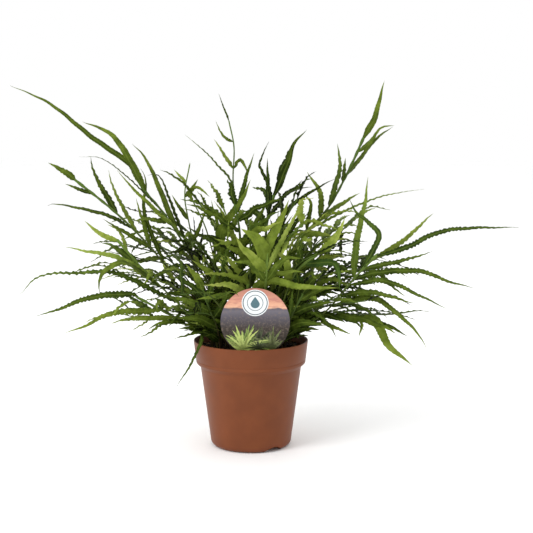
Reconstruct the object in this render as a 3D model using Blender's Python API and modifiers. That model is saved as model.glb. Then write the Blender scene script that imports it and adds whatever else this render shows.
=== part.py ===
"""A fern in a 12 cm nursery pot: the plastic pot, its plug of peat, the round plant label and the fronds.

The pot's underside is at z = 0 and its axis is the Z axis. Front is -Y and right is +X.
Each frond is one solid: a wiry stalk with narrow leaflets on both sides and one at its end.
Stalks and leaflets follow guide points, given in millimetres from the middle of the rim's plane. A leaflet
that would run into a neighbour leans out of the way, grows shorter or is left out, as it does on the plant.
"""

import math
import random
from dataclasses import dataclass, field
from itertools import product

import bpy
from mathutils import Matrix, Vector
from mathutils.bvhtree import BVHTree

MM = 0.001
CLEARANCE = 0.3 * MM
MERGE_DISTANCE = 0.01 * MM
OBJECT_NAME = "potted_fern"

# Pot: a thin moulded wall with a stepped band under the rim and three drain notches in its foot
POT_HEIGHT = 112 * MM
RIM_RADIUS = 60 * MM
BAND_HEIGHT = 24 * MM
BAND_TAPER = 2.7 * MM
STEP_HEIGHT = 4 * MM
STEP_DEPTH = 4.5 * MM
FOOT_RADIUS = 42.5 * MM
FOOT_ROUNDING = 6 * MM
FOOT_ARC_STEPS = 3
WALL = 1.2 * MM
POT_SIDES = 48
DRAIN_COUNT = 3
DRAIN_RADIUS = 15 * MM
DRAIN_HEIGHT = 5 * MM
DRAIN_DEPTH = 13 * MM
DRAIN_HOLE_RADIUS = 2.5 * MM
DRAIN_AZIMUTH = math.radians(-54)
DRAIN_SIDES = 32
DRAIN_HOLE_SIDES = 12

# Peat: it fills the pot to a little below the rim, and heaps towards the middle
PEAT_BELOW_RIM = 10 * MM
PEAT_HEAP = 5 * MM
PEAT_RINGS = 4
PEAT_SIDES = 40

# Plant label: a round card on a pointed stake, just inside the front of the rim
LABEL_RADIUS = 35 * MM
LABEL_THICKNESS = 0.8 * MM
LABEL_SINK = 8 * MM
LABEL_OFFSET = 5 * MM
LABEL_SETBACK = 9 * MM
LABEL_SIDES = 40
STAKE_WIDTH = 14 * MM
STAKE_DEPTH = 38 * MM
STAKE_POINT = 12 * MM
STAKE_GAP = 3.2 * MM

# Fronds
STALK_WIDTH = 1.9 * MM
STALK_TIP_WIDTH = 1.2 * MM
STALK_THICKNESS = 1.6 * MM
BLADE_THICKNESS = 0.5 * MM
BLADE_END_WIDTH = 0.6 * MM
SEAT_LENGTH = 4 * MM
SEAT_SPACE = 1.2 * MM
FOOT_LENGTH = 6 * MM
STALK_STEP = 34 * MM
LEAF_GAP = 0.8 * MM
SHORT_LEAF = 55 * MM
LONG_LEAF = 110 * MM
SHORT_STATIONS = (0.0, 0.3, 0.66, 1.0)
MIDDLE_STATIONS = (0.0, 0.2, 0.48, 0.76, 1.0)
LONG_STATIONS = (0.0, 0.14, 0.32, 0.5, 0.68, 0.85, 1.0)
SPANS_PER_POINT = 10
FOOT_TURNS = (0, 9, -9, 18, -18, 27, -27, 36, -36, 45, -45, 54, -54, 63, -63, 72, -72)
STALK_LEAN_RINGS = (5, 10, 16, 24, 32)
WIDE_LEAN_RINGS = (40, 48, 56)
STALK_LEAN_WAYS = 8
LEAF_LEANS = (0, 6, -6, 12, -12, 18, -18, 26, -26)
LEAF_SHARES = (1.0, 0.7, 0.45)
SEED = 12

UP = Vector((0, 0, 1))
FACING_FRONT = (0.0, -1.0, 0.25)

# The chosen guide points are drawn on the upright plane through the pot's axis, as seen from this place in
# front of it, in mm from the middle of the rim's plane. Each keeps its own depth and its line of sight.
SIGHT_X = 16.4
SIGHT_Y = -1300.0
SIGHT_Z = 251.0

# A leaflet's outline: its breadth at its foot as a share of its full breadth, how fast that swells, and the
# two powers of its taper to the tip
LEAF_FOOT_SHARE = 0.5
LEAF_SWELLING = 2.5
LEAF_TAPER_START = 2.2
LEAF_TAPER_SHAPE = 0.8

# Fronds that fill the plant, by rule. Shares run from 0 for the innermost to 1 for the outermost; pairs are a
# value and its change with the share; lengths are in mm.
FILL_COUNT = 18
FILL_START = math.radians(60)
FILL_LEAVES = 9
FILL_FIRST_LEAF = 0.22
FILL_LAST_LEAF = 0.94
GOLDEN_ANGLE = math.radians(137.508)
FILL_REACH = (28, 112)
FILL_REACH_SPREAD = (0.88, 1.12)
FILL_REACH_LOSS_TO_FRONT = 0.42
FILL_REACH_GAIN_TO_BACK = 0.25
FILL_RISE = (182, -128)
FILL_RISE_SPREAD = (0.88, 1.1)
FILL_RISE_GAIN_TO_FRONT = 46
FOOT_SHARE = (0.16, 0.56)
FOOT_LOSS_TO_FRONT = 0.38
STALK_STATIONS = (0.3, 0.65, 1.0)
STALK_OUTWARD_POWER = 1.5
STALK_ARCH = (0.8, 0.2)
FACE_TILT = 0.9
TIP_LEAF_AT = 0.99
SIDE_LEAF_SPREAD = (34, 58)
TIP_LEAF_SPREAD = (-8, 8)
LEAF_LENGTH = (46, 84)
LEAF_SHORTENING = (1.15, -0.35)
LEAF_ARCH = 0.05
LEAF_HANG = (0.0, 0.3)
LEAF_WIDTH = (5.5, 9)
# Flank fronds: azimuth in degrees, foot as a share of the bed, reach and rise in mm
FLANKS = (
    (172, 0.62, 104, 122),
    (190, 0.80, 92, 74),
    (158, 0.90, 108, 50),
    (204, 0.66, 72, 112),
    (8, 0.62, 104, 122),
    (-12, 0.80, 90, 78),
    (22, 0.90, 110, 50),
    (-26, 0.66, 72, 114),
    (178, 1.00, 132, 96),
    (-5, 1.00, 126, 84),
    (197, 0.72, 126, 46),
    (-19, 0.72, 124, 48),
    (165, 0.70, 134, 66),
    (14, 0.70, 134, 64),
    (150, 0.56, 98, 100),
    (31, 0.56, 98, 100),
    (186, 0.90, 116, 24),
    (-6, 0.90, 116, 26),
    (221, 0.86, 84, 48),
    (-35, 0.78, 86, 58),
)
# The part of the view over the label that the ruled leaflets leave free: how far in front of the pot's axis
# it starts, in rim radii, and how its top rises towards the label
VIEW_START = 3
VIEW_SLOPE = 0.16


@dataclass
class Leaf:
    """One leaflet: where it leaves the stalk as a share of its length, its guide points, its width in mm."""

    at: float
    points: list
    width: float


@dataclass
class Frond:
    """One frond: its foot in shares of the bed's radius, its stalk's guide points, the way its face looks."""

    name: str
    foot: tuple
    stalk: list
    leaves: list
    face: tuple = FACING_FRONT
    by_rule: bool = False


@dataclass
class Strip:
    """Stations along a narrow sheet: middle points, side vectors, normals and widths."""

    middles: list = field(default_factory=list)
    sides: list = field(default_factory=list)
    normals: list = field(default_factory=list)
    widths: list = field(default_factory=list)

    def add(self, middle, side, normal, width):
        self.middles.append(middle)
        self.sides.append(side)
        self.normals.append(normal)
        self.widths.append(width)

    def left(self, i):
        return self.middles[i] - self.sides[i] * self.widths[i] / 2

    def right(self, i):
        return self.middles[i] + self.sides[i] * self.widths[i] / 2


# ---------------------------------------------------------------- scene and materials

def clear_scene():
    for item in list(bpy.data.objects):
        bpy.data.objects.remove(item)


def new_collection(name):
    collection = bpy.data.collections.new(name)
    bpy.context.scene.collection.children.link(collection)
    return collection


def make_material(name, colour, roughness, metallic=0.0):
    material = bpy.data.materials.new(name)
    material.use_nodes = True
    shader = material.node_tree.nodes["Principled BSDF"]
    shader.inputs["Base Color"].default_value = (*colour, 1)
    shader.inputs["Roughness"].default_value = roughness
    shader.inputs["Metallic"].default_value = metallic
    return material


def place(mesh_or_curve, name, material, collection):
    item = bpy.data.objects.new(name, mesh_or_curve)
    collection.objects.link(item)
    if material:
        mesh_or_curve.materials.append(material)
    return item


# ---------------------------------------------------------------- turned shapes

def turned(name, profile, sides, material, collection):
    """A solid of revolution about Z from (radius, height) points that run down its outer side."""
    mesh = bpy.data.meshes.new(name)
    points = [(radius, 0, height) for radius, height in profile]
    edges = [(i, i + 1) for i in range(len(points) - 1)]
    mesh.from_pydata(points, edges, [])
    item = place(mesh, name, material, collection)
    screw = item.modifiers.new("turn", "SCREW")
    screw.axis = "Z"
    screw.angle = 2 * math.pi
    screw.steps = sides
    screw.render_steps = sides
    screw.use_merge_vertices = True
    screw.merge_threshold = MERGE_DISTANCE
    screw.use_smooth_shade = True
    return item


def inset(profile, distance):
    """The profile moved inwards by a distance, square to each of its straight runs."""
    lines = []
    for (r0, z0), (r1, z1) in zip(profile, profile[1:]):
        along = Vector((r1 - r0, z1 - z0)).normalized()
        shift = Vector((along.y, -along.x)) * distance
        lines.append((Vector((r0, z0)) + shift, along))
    moved = [lines[0][0]]
    for (p0, d0), (p1, d1) in zip(lines, lines[1:]):
        turn = d0.cross(d1)
        moved.append(p0 + d0 * ((p1 - p0).cross(d1) / turn))
    last_r, last_z = profile[-1]
    moved.append(Vector((last_r, last_z + distance)))
    return [(max(point.x, 0.0), point.y) for point in moved]


def pot_outside():
    """The pot's outer side from the rim down to the middle of its underside."""
    band_foot = RIM_RADIUS - BAND_TAPER
    body_top = POT_HEIGHT - BAND_HEIGHT - STEP_HEIGHT
    profile = [
        (RIM_RADIUS, POT_HEIGHT),
        (band_foot, POT_HEIGHT - BAND_HEIGHT),
        (band_foot - STEP_DEPTH, body_top),
    ]
    for step in range(FOOT_ARC_STEPS + 1):
        angle = step / FOOT_ARC_STEPS * math.pi / 2
        radius = FOOT_RADIUS - FOOT_ROUNDING * (1 - math.cos(angle))
        height = FOOT_ROUNDING * (1 - math.sin(angle))
        profile.append((radius, height))
    profile.append((0.0, 0.0))
    return profile


def cut_below(profile, height):
    """The part of a falling profile that lies below a height, starting exactly on it."""
    for i, ((r0, z0), (r1, z1)) in enumerate(zip(profile, profile[1:])):
        if z0 >= height > z1:
            share = (z0 - height) / (z0 - z1)
            return [(r0 + (r1 - r0) * share, height)] + profile[i + 1:]
    return profile


def peat_side():
    return cut_below(inset(pot_outside(), WALL + CLEARANCE), POT_HEIGHT - PEAT_BELOW_RIM)


def bed_radius():
    return peat_side()[0][0]


def peat_height(radius):
    """The height of the peat's heaped top at a distance from the pot's axis."""
    share = min(radius / bed_radius(), 1.0)
    return POT_HEIGHT - PEAT_BELOW_RIM + PEAT_HEAP * (1 - share * share)


def make_pot(parts, cutters):
    """The turned body less its cavity, which leaves each drain notch a ceiling and an inner wall."""
    outside = pot_outside()
    inside = inset(outside, WALL)
    mouth = POT_HEIGHT + 2 * WALL
    plastic = make_material("terracotta_plastic", (0.30, 0.10, 0.05), 0.45)
    pot = turned("pot", [(0.0, POT_HEIGHT)] + outside, POT_SIDES, plastic, parts)
    hollow = [(0.0, mouth), (inside[0][0], mouth)] + inside
    cavity = turned("cavity_cutter", hollow, POT_SIDES, None, cutters)
    move_to(cavity, cutters)
    for i in range(DRAIN_COUNT):
        cut(cavity, drain_notch(f"housing_cutter_{i}", i, WALL, cutters), f"housing_{i}")
    cut(pot, cavity, "cavity")
    for i in range(DRAIN_COUNT):
        cut(pot, drain_notch(f"drain_cutter_{i}", i, 0.0, cutters), f"drain_{i}")
        cut(pot, drain_hole(i, cutters), f"drain_hole_{i}")
    return pot


def drain_outward(number):
    """The way that a drain notch opens."""
    azimuth = DRAIN_AZIMUTH + number * 2 * math.pi / DRAIN_COUNT
    return Vector((math.cos(azimuth), math.sin(azimuth), 0))


def drain_notch(name, number, margin, cutters):
    """A drum along the radius that is a drain notch, or its housing where it is larger by a margin."""
    inner = FOOT_RADIUS - DRAIN_DEPTH - margin
    outer = FOOT_RADIUS + DRAIN_DEPTH
    bpy.ops.mesh.primitive_cylinder_add(
        vertices=DRAIN_SIDES, radius=DRAIN_RADIUS + margin, depth=outer - inner
    )
    cutter = bpy.context.object
    cutter.name = name
    move_to(cutter, cutters)
    outward = drain_outward(number)
    cutter.rotation_euler = outward.to_track_quat("Z", "Y").to_euler()
    cutter.location = outward * (inner + outer) / 2 + UP * (DRAIN_HEIGHT - DRAIN_RADIUS)
    return cutter


def drain_hole(number, cutters):
    """The upright drum that cuts a drain hole through a notch's ceiling."""
    top = DRAIN_HEIGHT + WALL + CLEARANCE
    bpy.ops.mesh.primitive_cylinder_add(vertices=DRAIN_HOLE_SIDES, radius=DRAIN_HOLE_RADIUS, depth=top)
    cutter = bpy.context.object
    cutter.name = f"drain_hole_cutter_{number}"
    move_to(cutter, cutters)
    cutter.location = drain_outward(number) * (FOOT_RADIUS - DRAIN_DEPTH / 2) + UP * top / 2
    return cutter


def move_to(item, collection):
    for owner in list(item.users_collection):
        owner.objects.unlink(item)
    collection.objects.link(item)
    item.hide_render = True
    item.display_type = "WIRE"


def cut(item, cutter, name):
    boolean = item.modifiers.new(name, "BOOLEAN")
    boolean.operation = "DIFFERENCE"
    boolean.solver = "EXACT"
    boolean.object = cutter


def make_peat(parts, cutters):
    edge = bed_radius()
    heap = []
    for ring in range(PEAT_RINGS):
        radius = edge * ring / PEAT_RINGS
        heap.append((radius, peat_height(radius)))
    peat = make_material("peat", (0.03, 0.02, 0.012), 0.95)
    item = turned("peat", heap + peat_side(), PEAT_SIDES, peat, parts)
    bpy.ops.mesh.primitive_cube_add(size=1)
    slot = bpy.context.object
    slot.name = "stake_slot_cutter"
    move_to(slot, cutters)
    depth = STAKE_DEPTH + CLEARANCE
    slot.scale = (STAKE_WIDTH + 2 * CLEARANCE, LABEL_THICKNESS + 2 * CLEARANCE, depth)
    middle = Vector((0, 0, -LABEL_RADIUS - depth / 2))
    slot.matrix_world = label_frame() @ Matrix.Translation(middle) @ Matrix.Diagonal((*slot.scale, 1))
    cut(item, slot, "stake_slot")
    for i in range(DRAIN_COUNT):
        cut(item, drain_notch(f"peat_cutter_{i}", i, WALL + CLEARANCE, cutters), f"drain_{i}")
    return item


# ---------------------------------------------------------------- plant label

def label_height():
    """The height of the card's middle: its lowest point is sunk a little way below the rim."""
    return POT_HEIGHT + LABEL_RADIUS - LABEL_SINK


def label_frame():
    """The label's own frame: its middle, with the card in its XZ plane.

    The card leans forward just enough to keep its stake's point a gap away from the pot's tapering wall.
    """
    inside = inset(pot_outside(), WALL)
    reach = LABEL_RADIUS + STAKE_DEPTH
    middle = inside[0][0] - LABEL_SETBACK
    point = cut_below(inside, label_height() - reach)[0][0] - STAKE_GAP
    lean = math.atan2(middle - point, reach)
    place = Matrix.Translation((LABEL_OFFSET, -middle, label_height()))
    return place @ Matrix.Rotation(lean, 4, "X")


def make_label(parts):
    """A round card that runs down into a pointed stake, cut from one flat sheet."""
    half = STAKE_WIDTH / 2
    opening = math.asin(half / LABEL_RADIUS)
    outline = []
    for i in range(LABEL_SIDES + 1):
        angle = -math.pi / 2 + opening + (2 * math.pi - 2 * opening) * i / LABEL_SIDES
        outline.append((LABEL_RADIUS * math.cos(angle), LABEL_RADIUS * math.sin(angle)))
    shoulder = -LABEL_RADIUS - STAKE_DEPTH + STAKE_POINT
    outline += [(-half, shoulder), (0, shoulder - STAKE_POINT), (half, shoulder)]
    curve = bpy.data.curves.new("plant_label", "CURVE")
    curve.dimensions = "2D"
    curve.fill_mode = "BOTH"
    curve.extrude = LABEL_THICKNESS / 2
    spline = curve.splines.new("POLY")
    spline.points.add(len(outline) - 1)
    for point, (x, y) in zip(spline.points, outline):
        point.co = (x, y, 0, 1)
    spline.use_cyclic_u = True
    card = make_material("printed_card", (0.55, 0.50, 0.42), 0.4)
    label = place(curve, "plant_label", card, parts)
    label.matrix_world = label_frame() @ Matrix.Rotation(math.pi / 2, 4, "X")
    return label


# ---------------------------------------------------------------- curves

def smooth_path(points):
    """Close points along a smooth curve through the given ones, with the length run at each."""
    ends = [points[0] * 2 - points[1], *points, points[-1] * 2 - points[-2]]
    path = [points[0].copy()]
    for p0, p1, p2, p3 in zip(ends, ends[1:], ends[2:], ends[3:]):
        for step in range(1, SPANS_PER_POINT + 1):
            t = step / SPANS_PER_POINT
            bend = (p0 * 2 - p1 * 5 + p2 * 4 - p3) * t * t
            swing = (p1 * 3 - p0 - p2 * 3 + p3) * t * t * t
            path.append((p1 * 2 + (p2 - p0) * t + bend + swing) / 2)
    runs = [0.0]
    for a, b in zip(path, path[1:]):
        runs.append(runs[-1] + (b - a).length)
    return path, runs


def along(path, runs, distance):
    """The point and the direction of a path at a distance from its start."""
    i = 1
    while i < len(runs) - 1 and runs[i] < distance:
        i += 1
    share = (distance - runs[i - 1]) / (runs[i] - runs[i - 1])
    step = path[i] - path[i - 1]
    return path[i - 1] + step * share, step.normalized()


def guide(point):
    """A guide point in mm from the middle of the rim's plane, as a place in the model."""
    return Vector(point) * MM + UP * POT_HEIGHT


def square_to(vector, axis):
    """The part of a vector that is square to an axis, at unit length."""
    return (vector - axis * vector.dot(axis)).normalized()


# ---------------------------------------------------------------- fronds

def foot_point(frond, turn):
    """The stalk's foot on the peat, turned round the pot's axis by some degrees."""
    flat = Matrix.Rotation(math.radians(turn), 3, "Z") @ Vector((*frond.foot, 0)) * bed_radius()
    return flat + UP * (peat_height(flat.length - STALK_THICKNESS) + CLEARANCE)


def leans_round(rings):
    """Leans in mm forwards and sideways, all round in rings."""
    leans = []
    for ring in rings:
        for way in range(STALK_LEAN_WAYS):
            angle = way * 2 * math.pi / STALK_LEAN_WAYS
            leans.append((ring * math.cos(angle), ring * math.sin(angle)))
    return leans


def stalk_tries():
    """The foot turns and leans that a stalk tries: small leans at each turn first, then wide ones."""
    small = [(0.0, 0.0)] + leans_round(STALK_LEAN_RINGS)
    return [*product(FOOT_TURNS, small), *product(FOOT_TURNS, leans_round(WIDE_LEAN_RINGS))]


def stalk_path(frond, lean, turn):
    """The stalk's path: straight up out of the peat, then through its guide points, which lean away."""
    foot = foot_point(frond, turn)
    top = foot + UP * FOOT_LENGTH
    face = Vector(frond.face).normalized()
    shift = (face * lean[0] + face.cross(UP).normalized() * lean[1]) * MM
    count = len(frond.stalk)
    points = [foot, top]
    for i, point in enumerate(frond.stalk):
        points.append(guide(point) + shift * (i + 1) / count)
    path, runs = smooth_path(points[1:])
    return [foot] + path, [0.0] + [run + FOOT_LENGTH for run in runs]


def leaf_seats(frond, length, path, runs):
    """The seat of each leaflet on the stalk: (start, side, leaf), opposite ones sharing a seat."""
    seats = []
    face = Vector(frond.face).normalized()
    for leaf in sorted(frond.leaves, key=lambda leaf: leaf.at):
        if leaf.at >= 1.0:
            continue
        start = min(leaf.at * length, length - SEAT_LENGTH - SEAT_SPACE)
        middle, tangent = along(path, runs, start)
        side = 1 if (guide(leaf.points[0]) - middle).dot(tangent.cross(face)) > 0 else -1
        if seats:
            last_start = seats[-1][0]
            taken = {s for begun, s, _ in seats if begun == last_start}
            if start < last_start + SEAT_LENGTH + SEAT_SPACE:
                start = last_start
                if side in taken:
                    start = last_start + SEAT_LENGTH + SEAT_SPACE
        seats.append((start, side, leaf))
    return [seat for seat in seats if seat[0] + SEAT_LENGTH + SEAT_SPACE < length]


def stalk_stops(seats, length):
    """Distances along the stalk at which it has a station: its foot, each seat's ends and between."""
    fixed = {0.0, FOOT_LENGTH, length}
    for start, _, _ in seats:
        fixed.update((start, start + SEAT_LENGTH))
    stops = []
    for a, b in zip(sorted(fixed), sorted(fixed)[1:]):
        pieces = max(1, math.ceil((b - a) / STALK_STEP))
        stops += [a + (b - a) * i / pieces for i in range(pieces)]
    return stops + [length]


def stalk_strip(frond, path, runs, stops):
    strip = Strip()
    face = Vector(frond.face).normalized()
    for stop in stops:
        middle, tangent = along(path, runs, stop)
        if stop < FOOT_LENGTH:
            tangent = UP
        side = tangent.cross(face).normalized()
        width = STALK_WIDTH + (STALK_TIP_WIDTH - STALK_WIDTH) * stop / stops[-1]
        strip.add(middle, side, side.cross(tangent), width)
    return strip


def leaf_breadth(width, share):
    """A leaflet's breadth at a share of its length: narrow at its foot, and drawn out to a thread."""
    swelling = min(1.0, LEAF_FOOT_SHARE + LEAF_SWELLING * share)
    taper = (1 - share ** LEAF_TAPER_START) ** LEAF_TAPER_SHAPE
    return max(width * MM * swelling * taper, BLADE_END_WIDTH)


def leaf_strip(leaf, seat_middle, seat_along, face, share, lean):
    """A leaflet's stations from seat to tip, cut to a share of its length and leaning by lean mm."""
    points = [seat_middle] + [guide(point) for point in leaf.points]
    path, runs = smooth_path(points)
    length = runs[-1] * share
    stations = MIDDLE_STATIONS
    if length < SHORT_LEAF:
        stations = SHORT_STATIONS
    if length > LONG_LEAF:
        stations = LONG_STATIONS
    strip = Strip()
    outward = (along(path, runs, length / 2)[0] - seat_middle).normalized()
    plane = outward.cross(square_to(seat_along, outward)).normalized()
    for station in stations:
        middle, tangent = along(path, runs, station * length)
        middle = middle + face * lean * MM * station
        side = plane.cross(tangent).normalized()
        width = leaf_breadth(leaf.width, station)
        if station == 0.0:
            side = seat_along
            width = SEAT_LENGTH
        strip.add(middle, side, side.cross(tangent).normalized(), width)
    return strip


def slab(strip, first, half_thickness, margin):
    """A closed test shape round a strip's stations from the first one on, as points and faces."""
    points = []
    faces = [(3, 2, 1, 0)]
    count = len(strip.middles) - first
    for i in range(first, len(strip.middles)):
        side = strip.sides[i] * (strip.widths[i] / 2 + margin)
        rise = strip.normals[i] * (half_thickness + margin)
        middle = strip.middles[i]
        points += [middle - side - rise, middle + side - rise, middle + side + rise, middle - side + rise]
    for ring in range(count - 1):
        for corner in range(4):
            following = (corner + 1) % 4
            a = 4 * ring + corner
            b = 4 * ring + following
            faces.append((a, b, b + 4, a + 4))
    last = 4 * (count - 1)
    faces.append((last, last + 1, last + 2, last + 3))
    return points, faces


@dataclass
class Obstacle:
    """A closed test shape with its search tree and its box."""

    points: list
    faces: list

    def __post_init__(self):
        self.tree = BVHTree.FromPolygons(self.points, self.faces)
        self.low = Vector([min(point[i] for point in self.points) for i in range(3)])
        self.high = Vector([max(point[i] for point in self.points) for i in range(3)])

    def meets(self, other):
        if any(self.low[i] > other.high[i] or other.low[i] > self.high[i] for i in range(3)):
            return False
        return bool(self.tree.overlap(other.tree))


def is_clear(shape, obstacles):
    return not any(shape.meets(obstacle) for obstacle in obstacles)


def obstacle_of(item):
    """A finished part as an obstacle."""
    evaluated = item.evaluated_get(bpy.context.evaluated_depsgraph_get())
    mesh = evaluated.to_mesh()
    points = [item.matrix_world @ vertex.co for vertex in mesh.vertices]
    faces = [tuple(polygon.vertices) for polygon in mesh.polygons]
    evaluated.to_mesh_clear()
    return Obstacle(points, faces)


def view_of_label():
    """The space in front of the label and the pot, which the leaflets placed by rule leave free."""
    near = -VIEW_START * RIM_RADIUS
    far = -RIM_RADIUS + LABEL_SETBACK
    low = 0.0
    high = label_height() + LABEL_RADIUS
    corners = []
    for x in (-RIM_RADIUS, RIM_RADIUS):
        for y, top in ((near, high + (far - near) * VIEW_SLOPE), (far, high)):
            corners += [Vector((x, y, low)), Vector((x, y, top))]
    faces = [(0, 1, 3, 2), (4, 6, 7, 5), (0, 4, 5, 1), (2, 3, 7, 6), (0, 2, 6, 4), (1, 5, 7, 3)]
    return Obstacle(corners, faces)


def grow(frond, material, parts, obstacles, view):
    """One frond: its stalk, then each leaflet in turn at the first lean and length that is clear.

    The first obstacle is the peat, which a stalk's foot all but touches, so its stalk isn't tested on it.
    """
    face = Vector(frond.face).normalized()
    others = list(obstacles)
    for turn, lean in stalk_tries():
        path, runs = stalk_path(frond, lean, turn)
        seats = leaf_seats(frond, runs[-1], path, runs)
        stalk = stalk_strip(frond, path, runs, stalk_stops(seats, runs[-1]))
        shape = Obstacle(*slab(stalk, 0, STALK_THICKNESS / 2, LEAF_GAP))
        if is_clear(shape, others[1:]):
            break
    else:
        print("no clear stalk for", frond.name)
    stops = stalk_stops(seats, runs[-1])
    stalk_shape = Obstacle(*slab(stalk, 0, STALK_THICKNESS / 2, 0))
    own = [stalk_shape]
    grown = [stalk_shape]
    blades = []
    tips = [leaf for leaf in frond.leaves if leaf.at >= 1.0]
    jobs = [(None, 0, leaf) for leaf in tips[:1]] + seats
    for start, side, leaf in jobs:
        strip = place_leaf(frond, leaf, start, side, stalk, stops, face, others, own, view)
        if strip is None:
            continue
        blades.append((start, side, strip))
        grown.append(Obstacle(*slab(strip, 0, BLADE_THICKNESS / 2, 0)))
        own.append(Obstacle(*slab(strip, 1, BLADE_THICKNESS / 2, 0)))
    build_frond(frond.name, stalk, stops, blades, material, parts)
    obstacles.extend(grown)
    return len(blades), len(frond.leaves)


def place_leaf(frond, leaf, start, side, stalk, stops, face, others, own, view):
    """The leaflet's strip at its first clear lean and length, or None."""
    if start is None:
        seat_middle = stalk.middles[-1]
        seat_along = stalk.sides[-1]
    else:
        i = stops.index(start)
        edge = stalk.right if side > 0 else stalk.left
        seat_middle = (edge(i) + edge(i + 1)) / 2
        seat_along = (edge(i + 1) - edge(i)).normalized()
    for share in LEAF_SHARES:
        for lean in LEAF_LEANS:
            if start is None:
                strip = tip_strip(leaf, seat_middle, stalk, face, share, lean)
            else:
                strip = leaf_strip(leaf, seat_middle, seat_along, face, share, lean)
            whole = Obstacle(*slab(strip, 0, BLADE_THICKNESS / 2, LEAF_GAP))
            outer = Obstacle(*slab(strip, 1, BLADE_THICKNESS / 2, LEAF_GAP / 2))
            if not is_clear(whole, others) or not is_clear(outer, own):
                continue
            if frond.by_rule and whole.meets(view):
                continue
            return strip
    return None


def tip_strip(leaf, seat_middle, stalk, face, share, lean):
    """The end leaflet, which runs on from the stalk's own side vectors."""
    strip = leaf_strip(leaf, seat_middle, stalk.sides[-1], face, share, lean)
    turned_strip = Strip()
    for i, middle in enumerate(strip.middles):
        side = strip.sides[i]
        width = strip.widths[i]
        if i == 0:
            side = stalk.sides[-1]
            width = stalk.widths[-1]
        if side.dot(stalk.sides[-1]) < 0:
            side = -side
        turned_strip.add(middle, side, strip.normals[i], width)
    return turned_strip


def build_frond(name, stalk, stops, blades, material, parts):
    """One open sheet of the stalk and its leaflets, which share the stalk's edges, given its thickness."""
    points = []
    faces = []
    blade_points = []
    for i in range(len(stops)):
        points += [stalk.left(i), stalk.right(i)]
    for i in range(len(stops) - 1):
        faces.append((2 * i, 2 * i + 1, 2 * i + 3, 2 * i + 2))
    for start, side, strip in blades:
        if start is None:
            last = len(stops) - 1
            seam = (2 * last, 2 * last + 1)
        elif side > 0:
            i = stops.index(start)
            seam = (2 * i + 3, 2 * i + 1)
        else:
            i = stops.index(start)
            seam = (2 * i, 2 * i + 2)
        for station in range(1, len(strip.middles)):
            near, far = strip.left(station), strip.right(station)
            if side > 0:
                near, far = far, near
            fresh = (len(points), len(points) + 1)
            points += [near, far]
            blade_points += fresh
            faces.append((seam[0], seam[1], fresh[1], fresh[0]))
            seam = fresh
    mesh = bpy.data.meshes.new(name)
    mesh.from_pydata(points, [], faces)
    item = place(mesh, name, material, parts)
    group = item.vertex_groups.new(name="stalk")
    group.add([i for i in range(len(points)) if i not in set(blade_points)], 1.0, "REPLACE")
    skin = item.modifiers.new("thickness", "SOLIDIFY")
    skin.thickness = STALK_THICKNESS
    skin.offset = 0
    skin.vertex_group = "stalk"
    skin.thickness_vertex_group = BLADE_THICKNESS / STALK_THICKNESS
    return item


# ---------------------------------------------------------------- the fronds, by hand and by rule

def sighted(point):
    """A chosen guide point moved along its line of sight to its own depth."""
    x, y, z = point
    share = 1 - y / SIGHT_Y
    return (SIGHT_X + (x - SIGHT_X) * share, y, SIGHT_Z + (z - SIGHT_Z) * share)


def chosen_fronds():
    """The fronds that give the plant its outline, with their guide points at their own depths."""
    fronds = drawn_fronds()
    for frond in fronds:
        frond.stalk = [sighted(point) for point in frond.stalk]
        for leaf in frond.leaves:
            leaf.points = [sighted(point) for point in leaf.points]
    return fronds


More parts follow.
